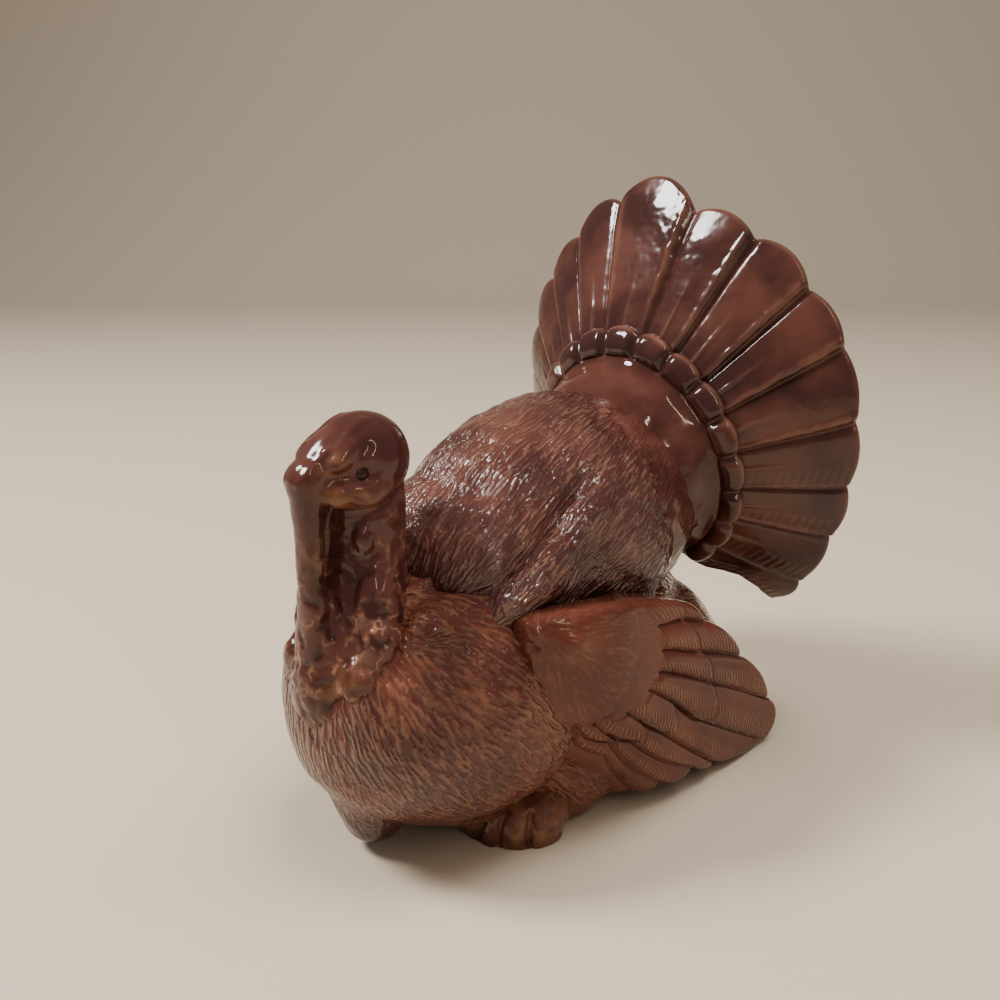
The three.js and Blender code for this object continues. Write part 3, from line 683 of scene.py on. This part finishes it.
def fanFront(around, outward, reach):
    # lift of the front face and how thin the glaze runs there
    number, across, _ = featherAt(around)
    side = 1 if around > -2.4 else -1
    across *= side
    grown = min(1, outward * 1.6)
    deep = tail["groove"] if side > 0 else 0.45 * tail["groove"]
    lift = -deep * gauss(abs(across) - 0.5, 0.065) * grown
    lift -= tail["dome"] * (2 * across) ** 2 * grown
    if number != 8:
        lift += tail["shingle"] * across * grown
    lift -= tail["bow"] * (1 - outward) ** 2
    lift -= tail["curl"] * max(0, outward - 0.86) ** 2 * 50
    wander = 0.03 * noise.noise(Vector((reach * 0.33, number * 7.3, 0.5)))
    lip = gauss(across - 0.415 - wander, 0.045) * grown
    lift += (tail["lip"] if side > 0 else 0.2 * tail["lip"]) * lip
    rib = gauss(across + 0.02, 0.032) * (1 - float(smoothstep(0.45, 0.75, outward)))
    lift += tail["midrib"] * rib
    edge = float(smoothstep(0.05, 0.14, across) * (1 - smoothstep(0.3, 0.42, across)))
    barb = (0.5 + 0.5 * math.sin(reach * 1.9 + across * 15)) * edge * float(smoothstep(70, 100, abs(around)))
    lift += tail["barb"] * barb
    return lift, min(1, 0.35 * lip + 0.4 * rib + 0.22 * barb)


# shares of the path that goes out along the front, round the rim and back in behind
fanPath = {"front": 0.62, "rim": 0.08, "rimEnd": 0.70, "rear": 0.30}


def makeFan():
    bm = bmesh.new()
    ridges = bm.verts.layers.float.new("ridges")
    bmesh.ops.create_grid(bm, x_segments=442, y_segments=150, size=1.0)
    spread = featherEdges[-1, 0]
    last = featherEdges[-2, 0]
    half = tail["thickness"] / 2
    for v in bm.verts:
        around = v.co.x * spread
        path = (v.co.y + 1) / 2
        _, across, radius = featherAt(around)
        ends = min(1, (spread - abs(around)) / 1.6)
        thin = math.sqrt(max(0, 1 - (1 - ends) ** 2))
        if path < fanPath["front"]:
            outward = path / fanPath["front"]
            reach = tail["innerRadius"] + (radius - half - tail["innerRadius"]) * outward
            lift, shade = fanFront(around, outward, reach)
            edge = min(1, outward * 12)
            level = (lift + half) * edge * thin - half
        elif path < fanPath["rimEnd"]:
            roll = (path - fanPath["front"]) / fanPath["rim"] * math.pi
            reach = radius - half + half * math.sin(roll)
            lift, shade = fanFront(around, 1.0, reach)
            level = (half * math.cos(roll) + lift * (1 + math.cos(roll)) / 2) * thin - half
            shade = 0.3 * math.sin(roll)
        else:
            outward = 1 - (path - fanPath["rimEnd"]) / fanPath["rear"]
            reach = tail["innerRadius"] + (radius - half - tail["innerRadius"]) * outward
            behind = 0.9 * gauss(across, 0.2) * min(1, outward * 2) - tail["bow"] * -((1 - outward) ** 2)
            shade = 0.2 * gauss(across, 0.1)
            edge = min(1, outward * 12)
            level = -(half + behind) * edge * thin - half
        v[ridges] = shade
        if abs(around) > last:
            bent = np.interp(reach, lowerEdge[:, 0], lowerEdge[:, 1])
            around = math.copysign(last + (abs(around) - last) * (bent - last) / (spread - last), around)
        v.co = tailSpot(around, reach, level)
    bmesh.ops.remove_doubles(bm, verts=bm.verts, dist=1e-6)
    bmesh.ops.recalc_face_normals(bm, faces=bm.faces)
    piece = newPiece("tailFan", bm)
    finishPiece(piece, ridgeMaterial("fanGlaze", fanGlaze), "tail_glaze", "tail_fan")


coverts = {
    "inner": 51.0, "topLength": 12.0, "sideLength": 8.5, "band": 1.0, "bump": 2.7, "scallop": 2.8, "front": 0.75, "floor": -1.5,
}


def makeCoverts():
    bm = bmesh.new()
    ridges = bm.verts.layers.float.new("ridges")
    bmesh.ops.create_grid(bm, x_segments=tail["feathers"] * 16, y_segments=44, size=1.0)
    spread = tail["feathers"] * tail["featherTurn"] / 2 - 0.6
    for v in bm.verts:
        around = v.co.x * spread
        path = (v.co.y + 1) / 2
        place = around / tail["featherTurn"]
        across = place - round(place)
        pad = (1 - gauss(abs(across) - 0.5, 0.11))
        dome = math.cos(math.pi * across) ** 0.5 if abs(across) < 0.4999 else 0
        taper = min(1, abs(around) / tail["taperTurn"])
        length = coverts["topLength"] + (coverts["sideLength"] - coverts["topLength"]) * taper
        outer = coverts["inner"] + length - coverts["scallop"] * (1 - dome)
        ends = min(1, (spread - abs(around)) / 1.5)
        thin = math.sqrt(max(0, 1 - (1 - ends) ** 2))
        if path < coverts["front"]:
            outward = path / coverts["front"]
            reach = coverts["inner"] + (outer - coverts["inner"]) * (1 - math.cos(outward * math.pi)) / 2
            hump = math.sin(math.pi * outward) ** 0.75
            lift = (coverts["band"] + coverts["bump"] * pad) * hump if 0 < outward < 1 else coverts["floor"]
            shade = 0.5 * gauss(outward - 0.8, 0.08) * pad
        else:
            outward = 1 - (path - coverts["front"]) / (1 - coverts["front"])
            reach = coverts["inner"] + (outer - coverts["inner"]) * outward
            lift, shade = coverts["floor"], 0.0
        v[ridges] = shade
        v.co = tailSpot(around, reach, coverts["floor"] + (lift - coverts["floor"]) * thin)
    bmesh.ops.remove_doubles(bm, verts=bm.verts, dist=1e-6)
    bmesh.ops.recalc_face_normals(bm, faces=bm.faces)
    piece = newPiece("tailCoverts", bm)
    finishPiece(piece, ridgeMaterial("covertGlaze", fanGlaze), "tail_glaze", "tail_covert_ring")


# radius about the tail's axis and millimetres behind its tip
rootProfile = [
    (31, 2), (34, 8), (36.3, 13), (37.7, 17), (38.4, 20.5), (39.2, 24), (40.6, 27), (41.9, 29.2), (41.2, 30.6),
    (38, 30), (30, 22),
]

rootGlaze = {
    "deep": (0.052, 0.0155, 0.0115), "body": (0.098, 0.030, 0.0215), "breaking": 0.5, "depth": 0.12,
    "ripple": 0.5, "rippleScale": 120.0,
}


def makeRoot():
    # the flared end of the saddle, turned about the tail's axis
    bm = bmesh.new()
    profile = [bm.verts.new((0, behind * mm, radius * mm)) for radius, behind in rootProfile]
    edges = [bm.edges.new((a, b)) for a, b in zip(profile, profile[1:])]
    edges.append(bm.edges.new((profile[-1], profile[0])))
    bmesh.ops.spin(bm, geom=profile + edges, cent=(0, 0, 0), axis=(0, 1, 0), angle=2 * math.pi, steps=72, use_merge=True)
    bmesh.ops.remove_doubles(bm, verts=bm.verts, dist=1e-6)
    bmesh.ops.subdivide_edges(bm, edges=bm.edges, cuts=1, use_grid_fill=True, smooth=1.0)
    bmesh.ops.rotate(bm, verts=bm.verts, cent=(0, 0, 0), matrix=turn(tail["pitch"], "X"))
    bmesh.ops.translate(bm, verts=bm.verts, vec=tailTip)
    bmesh.ops.recalc_face_normals(bm, faces=bm.faces)
    piece = newPiece("tailRoot", bm)
    piece.modifiers.new("soften", "SUBSURF").levels = 2
    piece.modifiers["soften"].render_levels = 2
    applyModifiers(piece)
    roughen(piece, 9, 0.7, 2.0)

    def run(places):
        return places - np.array(tailTip - Vector((0, 0.03, 0)))

    layFlow(piece, run)
    layMask(piece, "down", np.full(len(piece.data.vertices), 0.1))
    finishPiece(piece, plumageMaterial("rootGlaze", {**plumage, **rootGlaze}), "tail_glaze", "tail_root_collar")


# ---- neck, head, beak, snood, wattles and caruncles in one skin

# lofts: side, forward, lift, half side, half deep; furrows: path, width, height; lids are rings about the eye:
# radius, first and last degree, how tall, width, height; cheeks: place, radius; spots: place, radius, share
head = {
    "eye": (12.2, 104.4, 130.8), "socket": 2.4,
    "neck": [
        (0, 97.5, 128, 12, 11.5), (0, 97.5, 120, 12.8, 12.5), (0, 98, 110, 12.8, 12.4), (0, 99.5, 98, 14, 13.4),
        (0, 101, 87, 17, 15), (0, 103, 77, 19.5, 16), (0, 103, 66, 20, 16.5), (0, 102, 56, 18, 15),
    ],
    "strap": [
        (0.4, 117.0, 130, 6.0, 5.0), (0.5, 117.8, 122, 5.6, 4.0), (0.4, 117.6, 112, 5.0, 3.6), (0.4, 117.8, 100, 5.1, 3.6),
        (0.6, 118, 88, 5.8, 4.2), (0.6, 118, 76, 7.5, 5.5),
    ],
    "web": [(-1.6, 112, 122, 1.8, 5), (-1.6, 112, 100, 1.8, 5), (-1.2, 113, 76, 2.6, 5)],
    "furrows": [
        ([(3.8, 121.9, 129.6), (5, 119.8, 132.6), (4.8, 116, 135.5), (5.6, 113, 138)], 1.2, 0.55),
        ([(5.6, 113, 138), (6.8, 110, 139.4), (6.2, 105, 142.8), (5.5, 100, 145)], 1.6, 0.6),
        ([(8, 117, 128), (9, 113, 132.5), (10.5, 109, 135.5), (11, 103, 138.5)], 2.2, -0.9),
        ([(7, 113, 119.3), (12, 109, 119.6), (13.6, 103, 119.8), (13, 96, 121.5), (10, 88, 125)], 1.2, -1.8),
        ([(11, 104, 116.6), (12, 98, 117)], 1.4, 0.7),
    ],
    "lids": [(4.4, -170, 30, 0.85, 0.9, 0.54), (6.9, -150, -10, 1.0, 1.0, -0.5), (8.4, -130, 0, 1.0, 1.3, 0.45)],
    "cheeks": [((9.5, 112.5, 125.8), 4.0), ((12, 104, 125), 3.4), ((8.5, 113, 134), 3.6)],
    "spots": [((12.8, 117, 69), 8, 0.5), ((-12.8, 117, 69), 8, 0.5), ((2, 124, 57), 9, 0.3), ((0.5, 121, 108), 8, 0.25)],
}


def ringAbout(place, radius, start, end, tall):
    # an arc on the side of the head, in degrees up from the front
    x, forward, lift = place
    return [(x, forward + radius * math.cos(math.radians(a)), lift + tall * radius * math.sin(math.radians(a)))
            for a in np.linspace(start, end, 13)]


def skinPit(place):
    # flat between the pits, with slow swells beneath
    fine = noise.noise(place / (3.7 * mm))
    slow = noise.noise(place / (8 * mm) + Vector((4, 1, 7)))
    return min(fine + 0.12, 0.14) + 0.3 * slow


def makeNeckAndHead():
    bm = bmesh.new()
    addLoft(bm, head["neck"])
    addBlob(bm, (13.5, 15.5, 14.5), (0, 98, 132), pitch=18)
    # forehead that runs down into the knob
    addBlob(bm, (8.5, 14, 8.5), (0, 108, 133.5), pitch=40)
    addBlob(bm, (7.5, 7.5, 8), (0.5, 115.3, 128.5))
    for side in (-1, 1):
        addBlob(bm, (4.5, 9, 3.6), (side * 7, 107, 137), pitch=30, yaw=side * 12)
        addBlob(bm, (7, 11, 6.5), (side * 6.8, 101, 125.6))
        addBlob(bm, (4.5, 5.5, 4.5), (side * 7.2, 110, 125.5))
        addBlob(bm, (6, 7.5, 15), (side * 13.5, 104, 88), roll=side * -6)
        addBlob(bm, (6.2, 6.6, 9), (side * 16.4, 106.5, 80))
        addBlob(bm, (8.4, 8, 8.6), (side * 12.8, 111.5, 70))
        addBlob(bm, (3.2, 3.2, 5), (side * 9.5, 105, 111))
    addBlob(bm, (3.6, 6.5, 4.2), (0, 115.6, 119.5), pitch=36)
    # the strap over the beak, and the web between it and the neck
    addLoft(bm, head["strap"], 20)
    addLoft(bm, head["web"], 16)
    addBlob(bm, (11.5, 8, 15), (0, 117, 65))
    piece = newPiece("neckAndHead", bm)
    fuse(piece, 0.62, 7)
    # jaw crease, brow, socket and lids
    for side in (-1, 1):
        for path, width, height in head["furrows"]:
            furrow(piece, onSide(side, path), width, height)
        swell(piece, [(onSide(side, [head["eye"]])[0], 4.4, -head["socket"])])
        for *ring, width, height in head["lids"]:
            furrow(piece, onSide(side, ringAbout(head["eye"], *ring)), width, height)
    places, normals = readSkin(piece)
    lift = places[:, 2] / mm
    lumps = 0.25 + 0.75 * (1 - smoothstep(88, 116, lift))
    lumps *= 1 - 0.85 * smoothstep(117, 124, lift)
    pits = np.array([skinPit(Vector(p)) for p in places])
    places += normals * (pits * lumps * 1.15 * mm)[:, None]
    writeSkin(piece, places)
    layMask(piece, "pits", smoothstep(-0.22, 0.16, pits))
    layMask(piece, "lumps", lumps)
    spots = list(head["spots"])
    for side in (-1, 1):
        spots += [(onSide(side, [place])[0], radius, 0.8) for place, radius in head["cheeks"]]
    layMask(piece, "pale", np.max([share * nearness(places, place, radius) for place, radius, share in spots], axis=0))
    finishPiece(piece, skinMaterial("skinGlaze", skin), "skin_glaze",
                "neck", "head", "beak", "snood", "wattle_left", "wattle_right", "caruncle_cluster")


eyeGlaze = {
    **fanGlaze, "deep": (0.020, 0.008, 0.006), "body": (0.036, 0.013, 0.009), "gloss": 0.22, "satin": 0.3,
    "ripple": 0.02, "specular": 0.25,
}


def makeEye(side, name, node):
    bm = bmesh.new()
    across, forward, lift = head["eye"]
    addBlob(bm, (1.2, 2.4, 2.1), (side * (across - 2.5), forward, lift))
    piece = newPiece(name, bm)
    layMask(piece, "ridges", np.zeros(len(piece.data.vertices)))
    finishPiece(piece, ridgeMaterial(name + "Glaze", eyeGlaze), "skin_glaze", node)


# ---- wings

# millimetres behind and below the shoulder, from here on
wing = {
    "shoulderForward": 67.0, "shoulderLift": 81.0, "centre": (8.0, 14.0),
    "span": 55.5, "tuck": 9.5, "lowTuck": 0.13, "tuckLength": 34.0,
    "slope": 4.0, "bow": 0.0013, "rim": 3.2, "depth": 9.0, "rearDepth": 16.0,
    "groove": 0.75, "grooveWidth": 0.95, "tilt": 1.0, "dome": 0.8, "secondary": 1.5, "band": 0.6,
    "pad": 1.5, "padDome": 1.6, "knob": 2.8, "knobPlace": (2.5, 3.5), "knobSpread": 20,
    "columns": 560, "rows": 112,
}

# the edge from point to point, with how far it bulges on the way to the next
wingEdge = [
    ((-8, -4), 0.3), ((-3, -6), 0.3), ((16, -5.5), 0.5), ((38, -1), 0.5), ((58, 6), 1.5), ((68, 16), 3.0), ((90, 36), 3.0),
    ((110.5, 61), 6.5), ((113, 80), 1.8), ((80, 76.5), 1.4), ((66, 73), 1.4), ((51, 73.5), 1.2), ((43, 75.5), 1.0),
    ((30, 73), 0.3), ((17, 58), 0), ((6, 45), 0), ((-3, 30), 0), ((-7, 13), 0.5),
]
# where the face comes out from under the breast: below and behind the shoulder
frontLine = [(-7, -5), (13, -5), (34, -3), (45, 6), (57, 17), (72, 29), (80, 36)]

# the grooves between the long feathers, from the top one down
wingGrooves = [
    [(38, -9), (58, 4), (66, 10)], [(40, 8), (68, 16)], [(42, 17), (60, 24), (90, 36)], [(43, 25), (68, 38), (110, 61)],
    [(36, 29), (61, 49), (114, 81)], [(24, 32), (43, 47), (80, 76)], [(13, 33), (30, 46), (66, 72)],
    [(7, 33), (22, 44), (51, 73)], [(9, 40), (23, 51), (43, 75)], [(0, 36), (14, 56), (28, 74)],
]
shortTips = [46, 54.5, 65.5, 75.5, 55.5, 43, 35.5, 29, 0]  # how far the short feathers over them reach
barbStrength = [0.5, 0.8, 1, 1, 1, 1, 1, 1, 0.9]
bandEdge = [(-90, 22), (-60, 25), (-30, 29), (-5, 33), (15, 34.2), (41, 28), (63, 20.5), (90, 18), (120, 18)]
shoulderPad = {"place": (3.5, 8), "radius": 25.8}


def wingOutline():
    path = []
    for (start, bulge), (end, _) in zip(wingEdge, wingEdge[1:] + wingEdge[:1]):
        a, b = np.array(start, float), np.array(end, float)
        out = np.array([b[1] - a[1], a[0] - b[0]]) / np.linalg.norm(b - a)
        for share in np.linspace(0, 1, 24, endpoint=False):
            path.append(a + (b - a) * share + out * bulge * (4 * share * (1 - share)) ** 0.8)
    path = np.array(path + [path[0]])
    walked = np.concatenate([[0], np.cumsum(np.linalg.norm(np.diff(path, axis=0), axis=1))])
    evenly = np.linspace(0, walked[-1], wing["columns"], endpoint=False)
    edge = np.stack([np.interp(evenly, walked, path[:, 0]), np.interp(evenly, walked, path[:, 1])], axis=1)
    for _ in range(2):
        edge = (np.roll(edge, 1, axis=0) + 2 * edge + np.roll(edge, -1, axis=0)) / 4
    return edge


def polar(back, drop):
    back, drop = back - wing["centre"][0], drop - wing["centre"][1]
    turned = np.degrees(np.arctan2(drop, back))
    return np.hypot(back, drop), np.where(turned < -140, turned + 360, turned)


def wingFace(back, drop):
    # how far the face stands from the middle of the bird, and the masks that its glaze reads
    reach, turned = polar(back, drop)
    lines = []
    for groove in wingGrooves:
        radii, turns = polar(*np.array(groove, float).T)
        lines.append(np.interp(reach, radii, turns))
    lines = np.array(lines)
    cell = np.clip((turned > lines).sum(axis=0) - 1, 0, 8)
    low = np.take_along_axis(lines, cell[None], 0)[0]
    high = np.take_along_axis(lines, cell[None] + 1, 0)[0]
    across = np.clip((turned - low) / np.maximum(high - low, 1e-3), 0, 1)
    grooved = np.min(np.abs(lines[1:9] - turned), axis=0) * np.pi / 180 * reach
    tip = np.array(shortTips, float)[cell] - 8 * (1 - across) ** 1.6 - 5 * np.clip((across - 0.8) / 0.2, 0, 1) ** 2
    short = 1 - smoothstep(tip - 0.7, tip + 0.7, reach)
    bandAt = np.interp(turned, *np.array(bandEdge, float).T)
    band = 1 - smoothstep(bandAt - 0.7, bandAt + 0.7, reach)
    fromPad = np.hypot(back - shoulderPad["place"][0], drop - shoulderPad["place"][1]) / shoulderPad["radius"]
    pad = 1 - smoothstep(0.965, 1.035, fromPad)
    feathered = 1 - np.maximum(band, pad)
    tucked = 1 - np.clip((back - np.interp(drop, *np.array(frontLine, float).T)) / wing["tuckLength"], 0, 1)
    face = wing["span"] + wing["slope"] * back / 140 - (wing["tuck"] + wing["lowTuck"] * np.maximum(drop, 0)) * tucked ** 2.2
    face -= wing["bow"] * (drop - 32) ** 2
    clear = smoothstep(0, 9, reach - np.maximum(bandAt, 26))
    face += feathered * (wing["tilt"] * across + wing["dome"] * np.sin(np.pi * across))
    face -= feathered * (0.35 + 0.65 * clear) * wing["groove"] * np.exp(-(grooved / wing["grooveWidth"]) ** 2)
    face += wing["secondary"] * np.maximum(short, band) - 0.7 * feathered * clear * np.exp(-((reach - tip - 1.2) / 0.9) ** 2)
    face += wing["band"] * band - 0.5 * (1 - pad) * np.exp(-((reach - bandAt - 1.1) / 0.9) ** 2)
    face += pad * (wing["pad"] + wing["padDome"] * np.clip(1 - fromPad ** 2, 0, 1))
    knobBack, knobDrop = wing["knobPlace"]
    face += wing["knob"] * np.exp(-((back - knobBack) ** 2 + (drop - knobDrop) ** 2) / wing["knobSpread"])
    barbs = feathered * np.array(barbStrength, float)[cell] * (1 - np.exp(-((reach - tip) / 1.6) ** 2))
    down = np.maximum(0.55 * band, pad)
    return face, np.stack([reach, 1 - across, barbs], axis=-1), down


def makeWing(side, name, *nodes):
    edge = wingOutline()
    centre = np.array(wing["centre"])
    reach = np.linalg.norm(edge - centre, axis=1)
    rows = wing["rows"]
    shares = np.linspace(0, 1, rows)[:, None] * (1 - wing["rim"] / reach)[None, :]
    rounding = [(1 - wing["rim"] * (1 - math.sin(step / 6 * math.pi / 2)) / reach)[None, :] for step in range(1, 7)]
    inner = np.linspace(1, 0, 12)[:, None] * np.ones_like(reach)[None, :]
    shares = np.concatenate([shares, *rounding, inner])
    places = centre + (edge - centre)[None] * shares[..., None]
    face, blade, down = wingFace(places[..., 0], places[..., 1])
    gap = np.clip((1 - shares) * reach / wing["rim"], 0, 1)
    front = face - wing["rim"] * (1 - np.sqrt(np.clip(1 - (1 - gap) ** 2, 0, 1)))
    far = np.clip(np.linalg.norm(places, axis=-1) / 140, 0, 1)
    behind = np.minimum(face, 58) - wing["depth"] - (wing["rearDepth"] - wing["depth"]) * far
    x = np.concatenate([front[:rows + 6], behind[rows + 6:]])
    x = np.maximum(x, behind)
    bm = bmesh.new()
    bladeLayer = bm.verts.layers.float_vector.new("blade")
    downLayer = bm.verts.layers.float.new("down")
    bmesh.ops.create_grid(bm, x_segments=len(reach), y_segments=len(shares) - 1, size=1.0)
    bm.verts.ensure_lookup_table()
    columns = np.rint((np.array([v.co.x for v in bm.verts]) + 1) / 2 * len(reach)).astype(int) % len(reach)
    lines = np.rint((np.array([v.co.y for v in bm.verts]) + 1) / 2 * (len(shares) - 1)).astype(int)
    for v, column, row in zip(bm.verts, columns, lines):
        v[bladeLayer] = Vector(blade[row, column])
        v[downLayer] = down[row, column]
        back, drop = places[row, column]
        v.co = at(side * x[row, column], wing["shoulderForward"] - back, max(0.4, wing["shoulderLift"] - drop))
    bmesh.ops.remove_doubles(bm, verts=bm.verts, dist=1e-6)
    bmesh.ops.recalc_face_normals(bm, faces=bm.faces)
    piece = newPiece(name, bm)

    def run(places):
        away = places - np.array(at(side * 55, wing["shoulderForward"] + 14, wing["shoulderLift"] + 6))
        return away / np.maximum(np.linalg.norm(away, axis=1), 1e-6)[:, None]

    layFlow(piece, run)
    finishPiece(piece, bladeMaterial(name + "Glaze", wingGlaze), "wing_glaze", *nodes)


# ---- feet

foot = {
    "grooves": [
        [(24, 76.5, 9), (22, 77, 4.5), (21, 76.5, 0)],
        [(29.9, 70.8, 13.2), (29.7, 72.5, 9.5), (29.3, 73.6, 4.9), (29, 73.5, 0)],
        [(36.2, 65.1, 12.1), (37.2, 66.6, 8.8), (37.2, 67.2, 5), (37, 67, 0)],
    ],
    "nails": [(18, 78, 4.5), (25.4, 74.8, 5.2), (33.5, 70.4, 5.2), (39.6, 64.2, 5)],
    # the first and the last of the shank's rings
    "rings": [
        [(34.5, 65.5, 13.0), (37.8, 65.0, 10.5), (40.2, 64.0, 6.0)],
        [(37.5, 56.5, 17.0), (41.0, 56.5, 14.0), (43.4, 56.0, 8.5)],
    ],
}


def makeFoot(side, name, node):
    bm = bmesh.new()
    addBlob(bm, (18, 12, 12.5), (side * 24.5, 62.5, 4.5), yaw=side * 30, square=2.3)
    addBlob(bm, (8.5, 11, 8.5), (side * 33, 55, 9), yaw=side * 38, pitch=20)
    for place, spread in (((11.5, 70), 12), ((19.5, 69), 26), ((28, 65), 38)):
        addBlob(bm, (5.2, 6.5, 6.2), (side * place[0], place[1], 3.6), yaw=side * spread)
    piece = newPiece(name, bm)
    fuse(piece, 0.62, 6)
    roughen(piece, 5, 0.5)
    # grooves between the toes, nails and shank rings
    for groove in foot["grooves"]:
        furrow(piece, onSide(side, groove), 1.4, -2.0, True)
    nails = onSide(side, foot["nails"])
    swell(piece, [(nail, 2.2, 0.8) for nail in nails])
    for step in range(7):
        ring = [[a + (b - a) * (step / 6) for a, b in zip(*pair)] for pair in zip(*foot["rings"])]
        furrow(piece, onSide(side, ring), 0.7, 0.8, True)
    places, _ = readSkin(piece)
    places[:, 2] = np.maximum(places[:, 2], 0.0)
    writeSkin(piece, places)
    layMask(piece, "lumps", np.full(len(places), 0.3))
    layMask(piece, "pits", np.ones(len(places)))
    # the lighter tone over the whole foot is painted light that lifts the shade under the belly; the nails are lighter
    # in their own colour
    pale = np.full(len(places), 0.42)
    for nail in nails:
        pale = np.maximum(pale, nearness(places, nail, 3.0))
    layMask(piece, "pale", pale)
    finishPiece(piece, skinMaterial(name + "Glaze", skin), "foot_glaze", node)


makeStage()
makeLowerBody()
makeBack()
makeFan()
makeCoverts()
makeRoot()
makeNeckAndHead()
makeEye(1, "leftEye", "eye_left")
makeEye(-1, "rightEye", "eye_right")
makeWing(1, "leftWing", "wing_left", "wing_coverts_left")
makeWing(-1, "rightWing", "wing_right", "wing_coverts_right")
makeFoot(1, "leftFoot", "foot_left")
makeFoot(-1, "rightFoot", "foot_right")
